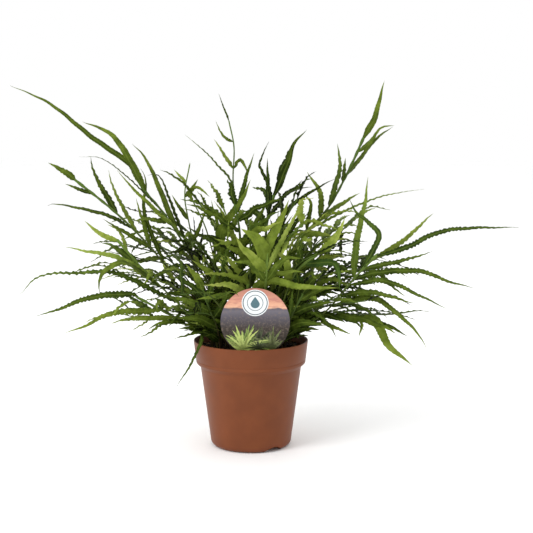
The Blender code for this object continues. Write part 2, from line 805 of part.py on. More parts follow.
def drawn_fronds():
    """The chosen fronds as drawn, from the left round to the right."""
    return [
        Frond("frond_left_tall", (-0.40, 0.00),
              [(-42, 0, 40), (-66, -4, 94), (-89, -8, 131), (-112, -12, 159), (-116, -14, 172)], [
            Leaf(1.0, [(-130, -18, 188), (-164, -20, 212), (-205, -26, 245), (-246, -30, 264)], 5),
            Leaf(0.90, [(-139, -24, 209), (-172, -30, 226)], 8),
            Leaf(0.62, [(-104, 2, 182), (-122, 6, 205)], 7),
            Leaf(0.45, [(-84, 4, 148), (-94, 8, 171), (-107, 10, 172)], 6),
            Leaf(0.80, [(-126, -24, 169), (-153, -34, 189), (-177, -38, 191)], 4),
            Leaf(0.68, [(-123, -16, 160), (-138, -22, 178)], 4),
        ]),
        Frond("frond_left_upper", (-0.52, -0.12),
              [(-60, -8, 45), (-90, -10, 80), (-114, -12, 108), (-144, -16, 137), (-181, -20, 167)], [
            Leaf(1.0, [(-192, -21, 176), (-209, -22, 185)], 6),
            Leaf(0.76, [(-160, -10, 172), (-165, -6, 192)], 7),
            Leaf(0.64, [(-140, -2, 155), (-147, 4, 178)], 6),
            Leaf(0.56, [(-119, -2, 149)], 5),
            Leaf(0.67, [(-150, -30, 131), (-199, -36, 142), (-211, -38, 140)], 4),
            Leaf(0.90, [(-192, -28, 163)], 4),
            Leaf(0.55, [(-154, -26, 127)], 5),
            Leaf(0.46, [(-110, 2, 133), (-108, 6, 165), (-114, 8, 180)], 5),
        ]),
        Frond("frond_left_broad", (-0.60, -0.28),
              [(-70, -18, 32), (-98, -22, 60), (-116, -26, 78), (-138, -30, 104)], [
            Leaf(1.0, [(-154, -32, 110), (-173, -36, 125)], 5),
            Leaf(0.90, [(-136, -20, 114), (-150, -20, 122)], 5),
            Leaf(0.78, [(-145, -36, 99), (-156, -40, 102)], 10),
            Leaf(0.70, [(-141, -40, 87), (-172, -48, 93), (-194, -52, 98)], 6),
            Leaf(0.58, [(-130, -44, 80), (-150, -54, 74), (-158, -58, 63), (-158, -60, 47)], 9),
            Leaf(0.42, [(-139, -48, 69), (-177, -58, 70), (-219, -66, 67), (-243, -70, 46)], 6),
        ]),
        Frond("frond_left_low", (-0.70, -0.10),
              [(-62, -20, 16), (-85, -34, 26), (-103, -44, 36), (-118, -50, 44)], [
            Leaf(1.0, [(-127, -52, 48), (-167, -62, 44), (-204, -70, 30), (-225, -74, 24)], 6),
            Leaf(0.72, [(-144, -62, 28), (-172, -68, 15), (-196, -72, 6)], 6),
            Leaf(0.56, [(-130, -60, 21), (-149, -66, 15)], 5),
            Leaf(0.42, [(-92, -50, 18), (-109, -58, 10)], 5),
            Leaf(0.22, [(-52, -44, 0), (-62, -52, -24), (-79, -54, -52)], 4),
        ]),
        Frond("frond_slender", (-0.30, 0.26),
              [(-38, 16, 50), (-56, 20, 90), (-66, 22, 133), (-68, 22, 155), (-63, 22, 182)], [
            Leaf(0.45, [(-70, 20, 100)], 4),
            Leaf(0.58, [(-46, 22, 136)], 4),
            Leaf(0.70, [(-82, 24, 152)], 4),
            Leaf(0.82, [(-54, 22, 168)], 4),
            Leaf(0.90, [(-79, 24, 178)], 3),
        ]),
        Frond("frond_hooked", (-0.28, -0.20),
              [(-28, -10, 40), (-37, -10, 81), (-47, -12, 118), (-60, -12, 146)], [
            Leaf(1.0, [(-63, -13, 153), (-55, -14, 160), (-42, -15, 149)], 4),
            Leaf(0.60, [(-34, -6, 116), (-41, -4, 147)], 5),
        ]),
        Frond("frond_centre_tall", (-0.10, 0.22),
              [(-10, 20, 60), (-12, 24, 114), (-18, 28, 163), (-17, 28, 200), (-22, 28, 227)], [
            Leaf(1.0, [(-26, 29, 238), (-33, 30, 256)], 3),
            Leaf(0.90, [(-28, 24, 212), (-36, 24, 228)], 3),
            Leaf(0.78, [(-28, 22, 194), (-38, 20, 210)], 4),
            Leaf(0.80, [(-10, 34, 188), (-2, 38, 172)], 4),
            Leaf(0.60, [(-20, 18, 164), (-34, 12, 182), (-49, 10, 198), (-68, 8, 214)], 4),
            Leaf(0.58, [(-4, 32, 172), (4, 32, 195)], 5),
            Leaf(0.42, [(8, 30, 128), (20, 32, 150)], 6),
            Leaf(0.40, [(-28, 20, 130), (-38, 16, 146)], 6),
        ]),
        Frond("frond_centre_broad", (-0.10, -0.12),
              [(-14, -12, 30), (-24, -16, 60), (-31, -18, 84)], [
            Leaf(1.0, [(-31, -20, 112), (-20, -22, 132), (-7, -24, 151), (0, -24, 168)], 9),
            Leaf(0.70, [(-10, -26, 84), (8, -30, 100)], 7),
            Leaf(0.62, [(-42, -28, 70), (-62, -36, 84)], 8),
        ]),
        Frond("frond_dark_spire", (0.12, 0.08),
              [(12, 8, 50), (15, 10, 100), (18, 12, 130), (24, 14, 151)], [
            Leaf(1.0, [(28, 14, 159), (38, 16, 184), (45, 16, 205), (58, 18, 219)], 9),
            Leaf(0.93, [(46, 8, 157), (65, 4, 160)], 3),
            Leaf(0.80, [(20, 8, 152), (11, 4, 177), (9, 4, 184), (19, 4, 206)], 5),
            Leaf(0.86, [(18, 18, 164), (17, 18, 190)], 5),
            Leaf(0.70, [(41, 4, 139), (68, -2, 158), (88, -6, 169)], 5),
            Leaf(0.52, [(32, 2, 112), (44, -2, 132)], 6),
            Leaf(0.50, [(0, 4, 110), (-8, 2, 130)], 6),
        ]),
        Frond("frond_right_tall", (0.38, 0.10),
              [(34, 6, 60), (48, 10, 104), (67, 12, 123), (84, 14, 144), (104, 20, 183), (116, 24, 210)], [
            Leaf(1.0, [(127, 28, 230), (132, 30, 249), (137, 32, 269)], 6),
            Leaf(0.93, [(122, 18, 206), (134, 14, 221), (148, 10, 223)], 6),
            Leaf(0.82, [(110, 30, 185), (128, 36, 208), (146, 40, 222)], 6),
            Leaf(0.78, [(98, 12, 190)], 5),
            Leaf(0.66, [(87, 8, 161), (92, 6, 183), (89, 4, 205)], 7),
            Leaf(0.60, [(72, 6, 153), (58, 2, 176)], 6),
            Leaf(0.54, [(62, 4, 142), (54, 0, 152)], 5),
            Leaf(0.60, [(100, 22, 146), (113, 24, 154)], 6),
            Leaf(0.52, [(101, 4, 137), (138, -6, 151), (180, -16, 158)], 4),
        ]),
        Frond("frond_right_long", (0.50, -0.26),
              [(58, -22, 15), (80, -28, 31), (95, -32, 49), (112, -36, 69), (131, -40, 89)], [
            Leaf(1.0, [(140, -42, 90), (164, -46, 98), (193, -50, 112), (224, -54, 117), (279, -62, 118)], 5),
            Leaf(0.93, [(159, -34, 104), (182, -28, 126), (190, -26, 133)], 7),
            Leaf(0.86, [(160, -50, 84), (190, -56, 93)], 5),
            Leaf(0.78, [(134, -48, 71), (177, -58, 72), (204, -64, 62), (234, -70, 54)], 6),
            Leaf(0.70, [(139, -54, 62), (179, -64, 45), (206, -70, 32)], 5),
            Leaf(0.60, [(126, -50, 50), (171, -66, 38)], 6),
            Leaf(0.50, [(126, -36, 44), (156, -50, 25), (176, -56, 5), (185, -60, -11)], 6),
            Leaf(0.76, [(110, -30, 99), (115, -26, 127), (119, -24, 146), (121, -22, 171)], 7),
            Leaf(0.88, [(133, -34, 108), (120, -26, 124), (110, -24, 132), (101, -24, 147)], 6),
        ]),
        Frond("frond_right_low", (0.62, -0.08),
              [(60, -6, 17), (80, -8, 24), (100, -10, 26), (118, -12, 24)], [
            Leaf(1.0, [(132, -16, 18), (144, -20, -6), (170, -26, -28)], 9),
            Leaf(0.82, [(144, -6, 26), (174, -4, 30), (190, -2, 29)], 6),
            Leaf(0.76, [(116, -22, 18), (113, -30, 2)], 5),
            Leaf(0.50, [(85, -26, 14), (106, -36, 5)], 5),
            Leaf(0.56, [(106, 4, 24), (130, 10, 14)], 7),
            Leaf(0.90, [(144, -14, 14), (165, -16, 3)], 6),
        ]),
        Frond("frond_front_light", (0.00, -0.42),
              [(-2, -30, 24), (-4, -36, 45), (-3, -40, 58)], [
            Leaf(1.0, [(-14, -44, 66), (-36, -50, 70), (-60, -54, 68)], 8),
            Leaf(0.80, [(18, -40, 62), (49, -44, 56), (93, -48, 54)], 8),
            Leaf(0.82, [(-22, -46, 58), (-50, -52, 57)], 7),
            Leaf(0.60, [(-26, -42, 46), (-58, -46, 42)], 7),
        ]),
        Frond("frond_front_fan", (0.16, -0.30),
              [(14, -34, 42), (16, -46, 68), (17, -52, 92)], [
            Leaf(1.0, [(20, -54, 104), (30, -54, 124), (40, -52, 147)], 9),
            Leaf(0.92, [(8, -60, 104), (-10, -64, 117)], 14),
            Leaf(0.90, [(26, -46, 112), (29, -44, 136)], 7),
            Leaf(0.80, [(0, -58, 88), (-9, -62, 96), (-16, -62, 109)], 9),
            Leaf(0.72, [(0, -54, 80), (-18, -58, 82)], 8),
            Leaf(0.70, [(34, -56, 84), (53, -58, 86)], 7),
            Leaf(0.84, [(40, -48, 118), (56, -46, 146)], 6),
        ]),
        Frond("frond_rim_left", (-0.55, -0.40),
              [(-36, -28, 14), (-44, -32, 34), (-50, -34, 52)], [
            Leaf(1.0, [(-57, -36, 66), (-68, -38, 80)], 7),
            Leaf(0.36, [(-56, -42, 22), (-78, -52, 22)], 8),
            Leaf(0.50, [(-30, -40, 36), (-24, -46, 48)], 7),
            Leaf(0.62, [(-64, -40, 40), (-88, -50, 46)], 7),
            Leaf(0.76, [(-40, -40, 62), (-32, -44, 76)], 7),
            Leaf(0.86, [(-64, -38, 58), (-80, -44, 66)], 6),
        ]),
        Frond("frond_rim_right", (0.56, -0.42),
              [(38, -28, 14), (46, -32, 32), (54, -34, 48)], [
            Leaf(1.0, [(62, -36, 60), (76, -38, 72)], 7),
            Leaf(0.36, [(56, -42, 18), (78, -50, 14)], 8),
            Leaf(0.50, [(42, -42, 40), (44, -48, 54)], 7),
            Leaf(0.62, [(66, -40, 36), (90, -48, 40)], 7),
            Leaf(0.78, [(50, -42, 58), (48, -46, 74)], 7),
            Leaf(0.86, [(70, -38, 52), (88, -42, 58)], 6),
        ]),
        Frond("frond_front_right", (0.34, -0.40),
              [(34, -30, 40), (48, -34, 72), (72, -36, 92)], [
            Leaf(1.0, [(80, -36, 98), (90, -36, 110), (98, -36, 128)], 8),
            Leaf(0.66, [(54, -44, 59), (48, -54, 18)], 8),
            Leaf(0.82, [(87, -44, 79), (93, -48, 51)], 7),
            Leaf(0.60, [(36, -40, 84), (22, -44, 96)], 8),
        ]),
    ]


def ramp(pair, share):
    """A value that changes evenly with a share, from a pair of its start and its change."""
    return pair[0] + pair[1] * share


def ruled_fronds(rng):
    """Fronds all round the plant, the inner ones upright and the outer ones low, then its flank fronds."""
    fronds = []
    for number in range(FILL_COUNT):
        azimuth = FILL_START + number * GOLDEN_ANGLE
        share = math.sqrt((number + 0.5) / FILL_COUNT)
        to_front = max(0.0, -math.sin(azimuth))
        to_back = max(0.0, math.sin(azimuth))
        bias = 1 - FILL_REACH_LOSS_TO_FRONT * to_front + FILL_REACH_GAIN_TO_BACK * to_back
        reach = ramp(FILL_REACH, share) * rng.uniform(*FILL_REACH_SPREAD) * bias
        rise = ramp(FILL_RISE, share) * rng.uniform(*FILL_RISE_SPREAD)
        rise += FILL_RISE_GAIN_TO_FRONT * share * to_front
        fronds.append(leaning_frond(f"frond_fill_{number + 1:02d}", azimuth, share, reach, rise, rng))
    for number, (degrees, share, reach, rise) in enumerate(FLANKS):
        name = f"frond_flank_{number + 1}"
        fronds.append(leaning_frond(name, math.radians(degrees), share, reach, rise, rng))
    return fronds


def leaning_frond(name, azimuth, share, reach, rise, rng):
    """A frond that leans out by its reach and up by its rise, in mm, with leaflets on both sides by turns."""
    outward = Vector((math.cos(azimuth), math.sin(azimuth), 0))
    foot = outward * ramp(FOOT_SHARE, share) * (1 - FOOT_LOSS_TO_FRONT * max(0.0, -outward.y))
    middle = outward * foot.length * bed_radius() / MM
    stalk = []
    for t in STALK_STATIONS:
        flat = middle + outward * (reach - middle.length) * t ** STALK_OUTWARD_POWER
        height = rise * math.sin(t * math.pi / 2 * ramp(STALK_ARCH, share))
        stalk.append((flat.x, flat.y, height))
    face = UP - outward * FACE_TILT
    frond = Frond(name, (foot.x, foot.y), stalk, [], tuple(face), by_rule=True)
    path, runs = stalk_path(frond, (0, 0), 0)
    for i in range(FILL_LEAVES):
        at = FILL_FIRST_LEAF + (FILL_LAST_LEAF - FILL_FIRST_LEAF) * i / FILL_LEAVES
        frond.leaves.append(ruled_leaf(at, i, SIDE_LEAF_SPREAD, path, runs, face, rng))
    end = ruled_leaf(TIP_LEAF_AT, 0, TIP_LEAF_SPREAD, path, runs, face, rng)
    end.at = 1.0
    frond.leaves.append(end)
    return frond


def ruled_leaf(at, turn, spreads, path, runs, face, rng):
    """A leaflet by rule: it leaves the stalk at an angle and its tip hangs a little."""
    middle, tangent = along(path, runs, at * runs[-1])
    side = tangent.cross(face.normalized()).normalized() * (1 if turn % 2 else -1)
    spread = math.radians(rng.uniform(*spreads))
    length = rng.uniform(*LEAF_LENGTH) * MM * ramp(LEAF_SHORTENING, at)
    ahead = tangent * math.cos(spread) + side * math.sin(spread)
    hang = rng.uniform(*LEAF_HANG)
    points = [
        middle + ahead * length / 2 + UP * length * LEAF_ARCH,
        middle + ahead * length - UP * length * hang,
    ]
    return Leaf(at, [tuple((point - UP * POT_HEIGHT) / MM) for point in points], rng.uniform(*LEAF_WIDTH))


def main():
    clear_scene()
    parts = new_collection(OBJECT_NAME)
    cutters = new_collection(f"{OBJECT_NAME}_cutters")
    pot = make_pot(parts, cutters)
    peat = make_peat(parts, cutters)
    label = make_label(parts)
    bpy.context.view_layer.update()
    obstacles = [obstacle_of(peat), obstacle_of(pot), obstacle_of(label)]
    view = view_of_label()
    green = make_material("fern_frond", (0.09, 0.19, 0.04), 0.5)
    rng = random.Random(SEED)
    fronds = chosen_fronds() + ruled_fronds(rng)
    for frond in fronds:
        grown, wanted = grow(frond, green, parts, obstacles, view)
        print(frond.name, grown, "of", wanted)


main()
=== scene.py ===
"""Dresses a fern in a 12 cm nursery pot: the pot, its bed of peat, the round plant label and the fronds.

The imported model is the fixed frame. Each piece here stands for one of its nodes and keeps that node's place.
The fronds repeat the guide points that the model was grown from, in millimetres from the middle of the rim's
plane, and take from each node which lean and length every leaflet was given there.
"""
import logging
import math
import random
from dataclasses import dataclass, field
from enum import Enum
from itertools import product

import bmesh
import bpy
from mathutils import Matrix, Vector, noise
from mathutils.kdtree import KDTree


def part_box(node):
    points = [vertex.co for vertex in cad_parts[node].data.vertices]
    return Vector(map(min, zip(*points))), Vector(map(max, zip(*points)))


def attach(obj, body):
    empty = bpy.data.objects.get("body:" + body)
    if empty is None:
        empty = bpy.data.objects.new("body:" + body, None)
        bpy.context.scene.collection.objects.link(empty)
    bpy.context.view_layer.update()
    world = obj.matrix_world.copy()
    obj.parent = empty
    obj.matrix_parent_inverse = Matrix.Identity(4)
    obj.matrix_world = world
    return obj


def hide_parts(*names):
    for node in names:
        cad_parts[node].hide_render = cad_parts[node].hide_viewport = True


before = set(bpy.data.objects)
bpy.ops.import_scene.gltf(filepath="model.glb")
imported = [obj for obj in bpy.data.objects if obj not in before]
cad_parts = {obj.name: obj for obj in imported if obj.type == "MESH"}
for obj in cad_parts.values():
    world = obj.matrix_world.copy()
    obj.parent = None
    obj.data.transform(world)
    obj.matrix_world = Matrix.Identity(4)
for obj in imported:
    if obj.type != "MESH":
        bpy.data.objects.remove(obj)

LOG = logging.getLogger("potted_fern")
MM = 0.001
UP = Vector((0, 0, 1))
BODY = "root"
MERGE = 0.002 * MM
PEAT_HEAP = 5 * MM
PEAT_SEED, LABEL_SEED, FROND_SEED = 3, 5, 7
LAYERS = ("tone", "share", "across", "run", "cool")


# ---------------------------- colours and nodes

def srgb(code: str) -> tuple[float, float, float, float]:
    """A hex colour as the linear colour that a socket takes.

    Args:
        code: Six hex digits, with or without a leading hash.

    Returns:
        Red, green, blue and alpha in linear light.
    """
    code = code.lstrip("#")
    values = [int(code[i:i + 2], 16) / 255 for i in (0, 2, 4)]
    linear = [v / 12.92 if v <= 0.04045 else ((v + 0.055) / 1.055) ** 2.4 for v in values]
    return (*linear, 1.0)


def set_sockets(tree: bpy.types.NodeTree, node: bpy.types.Node, links: dict) -> None:
    """Fills a node's input sockets.

    Args:
        tree: The node tree.
        node: The node.
        links: Input socket names or numbers, each with an output socket or a constant.
    """
    for name, value in links.items():
        socket = node.inputs[name]
        if isinstance(value, bpy.types.NodeSocket):
            tree.links.new(value, socket)
        else:
            socket.default_value = value


def add_node(tree: bpy.types.NodeTree, kind: str, links: dict | None = None, **settings) -> bpy.types.Node:
    """Adds a node with its settings, socket values and links.

    Args:
        tree: The node tree that takes the node.
        kind: The node's type name, without its ShaderNode prefix.
        links: Input socket names or numbers, each with an output socket or a constant.
        settings: Properties of the node itself.

    Returns:
        The new node.
    """
    node = tree.nodes.new("ShaderNode" + kind)
    for name, value in settings.items():
        setattr(node, name, value)
    set_sockets(tree, node, links or {})
    return node


def ramp(
    tree: bpy.types.NodeTree, source: bpy.types.NodeSocket, stops: list[tuple[float, str]]
) -> bpy.types.NodeSocket:
    """A colour ramp over a 0 to 1 value.

    Args:
        tree: The node tree.
        source: The value that picks the colour.
        stops: Positions with their hex colours, in rising order.

    Returns:
        The ramp's colour output.
    """
    node = add_node(tree, "ValToRGB", {"Fac": source})
    elements = node.color_ramp.elements
    while len(elements) < len(stops):
        elements.new(1.0)
    for element, (position, code) in zip(elements, stops):
        element.position = position
        element.color = srgb(code)
    return node.outputs["Color"]


def new_material(name: str) -> tuple[bpy.types.Material, bpy.types.NodeTree, bpy.types.Node]:
    """A material with nodes on.

    Args:
        name: The finish's own name.

    Returns:
        The material, its node tree and its Principled shader.
    """
    material = bpy.data.materials.new(name)
    material.use_nodes = True
    tree = material.node_tree
    return material, tree, tree.nodes["Principled BSDF"]


def bump(
    tree: bpy.types.NodeTree, shader: bpy.types.Node, height: bpy.types.NodeSocket,
    depth: float, strength: float,
) -> None:
    """Gives a shader a bumpy surface.

    Args:
        tree: The node tree.
        shader: The Principled shader.
        height: The height pattern, 0 to 1.
        depth: The pattern's real depth, in metres.
        strength: How much of it shows.
    """
    node = add_node(tree, "Bump", {"Height": height, "Distance": depth, "Strength": strength})
    tree.links.new(node.outputs["Normal"], shader.inputs["Normal"])


# ---------------------------- finishes

@dataclass(frozen=True)
class MouldedPlastic:
    """Injection-moulded polypropylene, terracotta-coloured: an even body with a soft satin gloss."""

    name: str = "moulded_polypropylene"
    colour: str = "784226"
    shade: str = "6E3C23"
    scuff: str = "A87A62"
    cloud_size: float = 22 * MM
    scuff_size: float = 3.5 * MM
    grain_size: float = 0.8 * MM
    grain_depth: float = 0.05 * MM
    roughness: float = 0.42
    gloss: float = 0.16

    def material(self) -> bpy.types.Material:
        """The plastic, with faint flow clouding, scuffs and the tool's fine grain.

        Returns:
            The material.
        """
        material, tree, shader = new_material(self.name)
        place = add_node(tree, "TexCoord").outputs["Object"]
        clouds = add_node(tree, "TexNoise", {"Vector": place, "Scale": 1 / self.cloud_size, "Detail": 3.0})
        colour = ramp(tree, clouds.outputs["Fac"], [(0.3, self.shade), (0.72, self.colour)])
        stretch = add_node(tree, "Mapping", {"Vector": place, "Scale": (1.0, 1.0, 0.22)})
        scuffs = add_node(tree, "TexNoise", {
            "Vector": stretch.outputs["Vector"], "Scale": 1 / self.scuff_size,
            "Detail": 6.0, "Roughness": 0.7,
        })
        worn = add_node(tree, "MapRange", {
            "Value": scuffs.outputs["Fac"], "From Min": 0.66, "From Max": 0.78, "To Max": 0.22,
        })
        pale = add_node(tree, "Mix", {
            "Factor": worn.outputs["Result"], "A": colour, "B": srgb(self.scuff),
        }, data_type="RGBA")
        grain = add_node(tree, "TexNoise", {"Vector": place, "Scale": 1 / self.grain_size, "Detail": 2.0})
        rough = add_node(tree, "MapRange", {
            "Value": clouds.outputs["Fac"], "To Min": self.roughness - 0.06, "To Max": self.roughness + 0.08,
        })
        bump(tree, shader, grain.outputs["Fac"], self.grain_depth, 0.25)
        set_sockets(tree, shader, {
            "Base Color": pale.outputs[2], "Roughness": rough.outputs["Result"],
            "IOR": 1.49, "Specular IOR Level": self.gloss,
        })
        return material


@dataclass(frozen=True)
class Peat:
    """Milled peat with fibres: nearly black, matte, crumbly, with paler dry crumbs."""

    name: str = "milled_peat"
    dark: str = "1A120C"
    middle: str = "2A1E15"
    light: str = "4A3626"
    crumb_size: float = 3.2 * MM
    crumb_depth: float = 1.2 * MM
    roughness: float = 0.95
    gloss: float = 0.1

    def material(self) -> bpy.types.Material:
        """The peat, darker in the hollows of its crumb as painted shade, with a coarse crumb.

        Returns:
            The material.
        """
        material, tree, shader = new_material(self.name)
        place = add_node(tree, "TexCoord").outputs["Object"]
        crumbs = add_node(tree, "TexNoise", {
            "Vector": place, "Scale": 1 / self.crumb_size, "Detail": 8.0, "Roughness": 0.7,
        })
        # The colour follows the crumb's height: the dark hollows are painted shade, and the paler tops stand
        # for dry crumbs.
        colour = ramp(tree, crumbs.outputs["Fac"], [
            (0.36, self.dark), (0.56, self.middle), (0.74, self.light),
        ])
        bump(tree, shader, crumbs.outputs["Fac"], self.crumb_depth, 0.9)
        set_sockets(tree, shader, {
            "Base Color": colour, "Roughness": self.roughness, "Specular IOR Level": self.gloss,
        })
        return material


@dataclass(frozen=True)
class WoodFibre:
    """Bark and wood fibre left in the mix: short pale sticks and chips, dry and matte."""

    name: str = "wood_fibre"
    dark: str = "6B4A2F"
    light: str = "B08A5E"
    streak_size: float = 4 * MM
    streak_depth: float = 0.3 * MM
    roughness: float = 0.85

    def material(self) -> bpy.types.Material:
        """The fibre, streaked from stick to stick.

        Returns:
            The material.
        """
        material, tree, shader = new_material(self.name)
        place = add_node(tree, "TexCoord").outputs["Object"]
        streaks = add_node(tree, "TexNoise", {"Vector": place, "Scale": 1 / self.streak_size, "Detail": 4.0})
        colour = ramp(tree, streaks.outputs["Fac"], [(0.35, self.dark), (0.65, self.light)])
        bump(tree, shader, streaks.outputs["Fac"], self.streak_depth, 0.5)
        set_sockets(tree, shader, {"Base Color": colour, "Roughness": self.roughness})
        return material


@dataclass(frozen=True)
class FrondBlade:
    """Leathery leaflet: deep green at its foot and yellower towards its tip, with a paler midrib."""

    name: str = "leathery_blade"
    rib: str = "6E8034"
    mottle_size: float = 9 * MM
    vein_spacing: float = 2.4 * MM
    vein_slant: float = 2.2 * MM
    vein_depth: float = 0.12 * MM
    roughness: float = 0.5
    gloss: float = 0.06

    def material(self) -> bpy.types.Material:
        """The blade's greens, by tone from leaflet to leaflet, with fine veins across it.

        Returns:
            The material.
        """
        material, tree, shader = new_material(self.name)
        tone, share, across, run, cool = [
            add_node(tree, "Attribute", attribute_name=name).outputs["Fac"] for name in LAYERS
        ]
        place = add_node(tree, "TexCoord").outputs["Object"]
        mottle = add_node(tree, "TexNoise", {"Vector": place, "Scale": 1 / self.mottle_size, "Detail": 4.0})
        along = add_node(tree, "MapRange", {"Value": share, "To Min": -0.10, "To Max": 0.16})
        shifted = add_node(tree, "Math", {0: tone, 1: along.outputs["Result"]}, operation="ADD")
        spots = add_node(tree, "MapRange", {
            "Value": mottle.outputs["Fac"], "From Min": 0.3, "From Max": 0.7, "To Min": -0.11, "To Max": 0.11,
        })
        pick = add_node(tree, "Math", {
            0: shifted.outputs[0], 1: spots.outputs["Result"],
        }, operation="ADD", use_clamp=True)
        green = ramp(tree, pick.outputs[0], [
            (0.0, "131B04"), (0.26, "2A380B"), (0.5, "495919"), (0.74, "748530"), (1.0, "A3AF55"),
        ])
        blue = ramp(tree, pick.outputs[0], [(0.0, "14220D"), (0.5, "35501F"), (1.0, "728C3E")])
        mixed = add_node(tree, "Mix", {"Factor": cool, "A": green, "B": blue}, data_type="RGBA")
        middle = add_node(tree, "Math", {0: across}, operation="ABSOLUTE")
        rib = add_node(tree, "MapRange", {
            "Value": middle.outputs[0], "From Min": 0.05, "From Max": 0.22, "To Min": 0.38, "To Max": 0.0,
        })
        ribbed = add_node(tree, "Mix", {
            "Factor": rib.outputs["Result"], "A": mixed.outputs[2], "B": srgb(self.rib),
        }, data_type="RGBA")
        slant = add_node(tree, "Math", {
            0: middle.outputs[0], 1: self.vein_slant, 2: run,
        }, operation="MULTIPLY_ADD")
        veins = add_node(tree, "Math", {
            0: slant.outputs[0], 1: 2 * math.pi / self.vein_spacing,
        }, operation="MULTIPLY")
        ridges = add_node(tree, "Math", {0: veins.outputs[0]}, operation="SINE")
        bump(tree, shader, ridges.outputs[0], self.vein_depth, 0.5)
        set_sockets(tree, shader, {
            "Base Color": ribbed.outputs[2], "Roughness": self.roughness,
            "IOR": 1.42, "Specular IOR Level": self.gloss,
        })
        return material


@dataclass(frozen=True)
class WiryStalk:
    """Wiry stalk: dark brown and dry at its foot, olive green higher up, with a faint gloss."""

    name: str = "wiry_stalk"
    fleck_size: float = 2 * MM
    fleck_depth: float = 0.1 * MM
    roughness: float = 0.5
    gloss: float = 0.12

    def material(self) -> bpy.types.Material:
        """The stalk's colour along its length.

        Returns:
            The material.
        """
        material, tree, shader = new_material(self.name)
        share = add_node(tree, "Attribute", attribute_name="share").outputs["Fac"]
        tone = add_node(tree, "Attribute", attribute_name="tone").outputs["Fac"]
        place = add_node(tree, "TexCoord").outputs["Object"]
        brown = ramp(tree, share, [(0.0, "2E1F12"), (0.25, "3A3018"), (0.6, "3C4A1E"), (1.0, "4C6426")])
        green = ramp(tree, share, [(0.0, "5A5A2A"), (0.3, "6F8038"), (1.0, "86A044")])
        mixed = add_node(tree, "Mix", {"Factor": tone, "A": brown, "B": green}, data_type="RGBA")
        flecks = add_node(tree, "TexNoise", {"Vector": place, "Scale": 1 / self.fleck_size, "Detail": 3.0})
        bump(tree, shader, flecks.outputs["Fac"], self.fleck_depth, 0.4)
        set_sockets(tree, shader, {
            "Base Color": mixed.outputs[2], "Roughness": self.roughness, "Specular IOR Level": self.gloss,
        })
        return material


@dataclass(frozen=True)
class PrintedLandscape:
    """Laminated printed card: a hazy sunset over dim hills, with the film's soft gloss."""

    middle: Vector
    radius: float
    name: str = "laminated_print"
    cloud: str = "B87C70"
    scrub: str = "857568"
    roughness: float = 0.45
    gloss: float = 0.2

    def material(self) -> bpy.types.Material:
        """The picture's sky, cloud streaks, far hills and rough ground, all in the card's own height.

        Returns:
            The material.
        """
        material, tree, shader = new_material(self.name)
        place = add_node(tree, "TexCoord").outputs["Object"]
        centred = add_node(tree, "Mapping", {
            "Vector": place, "Location": tuple(-self.middle / self.radius), "Scale": (1 / self.radius,) * 3,
        })
        parts = add_node(tree, "SeparateXYZ", {"Vector": centred.outputs["Vector"]})
        flat = add_node(tree, "CombineXYZ", {"X": parts.outputs["X"], "Y": parts.outputs["Z"]})
        height = parts.outputs["Z"]
        long_waves = add_node(tree, "Mapping", {
            "Vector": flat.outputs["Vector"], "Scale": (0.8, 3.6, 1.0), "Rotation": (0, 0, 0.25),
        })
        streaks = add_node(tree, "TexNoise", {
            "Vector": long_waves.outputs["Vector"], "Scale": 2.8, "Detail": 5.0, "Roughness": 0.6,
        })
        sky_at = add_node(tree, "MapRange", {"Value": height, "From Min": 0.3, "From Max": 1.0})
        sky = ramp(tree, sky_at.outputs["Result"], [
            (0.0, "F2E2D4"), (0.12, "E8B898"), (0.5, "D0957C"), (1.0, "A87264"),
        ])
        cloud = add_node(tree, "MapRange", {
            "Value": streaks.outputs["Fac"], "From Min": 0.46, "From Max": 0.6, "To Max": 0.8,
        })
        clouded = add_node(tree, "Mix", {
            "Factor": cloud.outputs["Result"], "A": sky, "B": srgb(self.cloud),
        }, data_type="RGBA")
        rolling = add_node(tree, "TexNoise", {"Vector": flat.outputs["Vector"], "Scale": 1.7, "Detail": 3.0})
        skyline = add_node(tree, "Math", {
            0: rolling.outputs["Fac"], 1: 0.22, 2: 0.29,
        }, operation="MULTIPLY_ADD")
        above = add_node(tree, "Math", {0: height, 1: skyline.outputs[0]}, operation="SUBTRACT")
        is_sky = add_node(tree, "MapRange", {"Value": above.outputs[0], "From Min": -0.02, "From Max": 0.02})
        hill_at = add_node(tree, "MapRange", {"Value": height, "From Min": -1.0, "From Max": 0.42})
        hills = ramp(tree, hill_at.outputs["Result"], [
            (0.0, "14120A"), (0.34, "29231A"), (0.58, "3D3631"),
            (0.8, "56525A"), (0.93, "6B6770"), (1.0, "5A5560"),
        ])
        scrub = add_node(tree, "TexNoise", {
            "Vector": flat.outputs["Vector"], "Scale": 12.0, "Detail": 6.0, "Roughness": 0.8,
        })
        speckle = add_node(tree, "MapRange", {
            "Value": scrub.outputs["Fac"], "From Min": 0.5, "From Max": 0.66, "To Max": 0.55,
        })
        ground = add_node(tree, "Mix", {
            "Factor": speckle.outputs["Result"], "A": hills, "B": srgb(self.scrub),
        }, data_type="RGBA")
        picture = add_node(tree, "Mix", {
            "Factor": is_sky.outputs["Result"], "A": ground.outputs[2], "B": clouded.outputs[2],
        }, data_type="RGBA")
        set_sockets(tree, shader, {
            "Base Color": picture.outputs[2], "Roughness": self.roughness, "Specular IOR Level": self.gloss,
        })
        return material


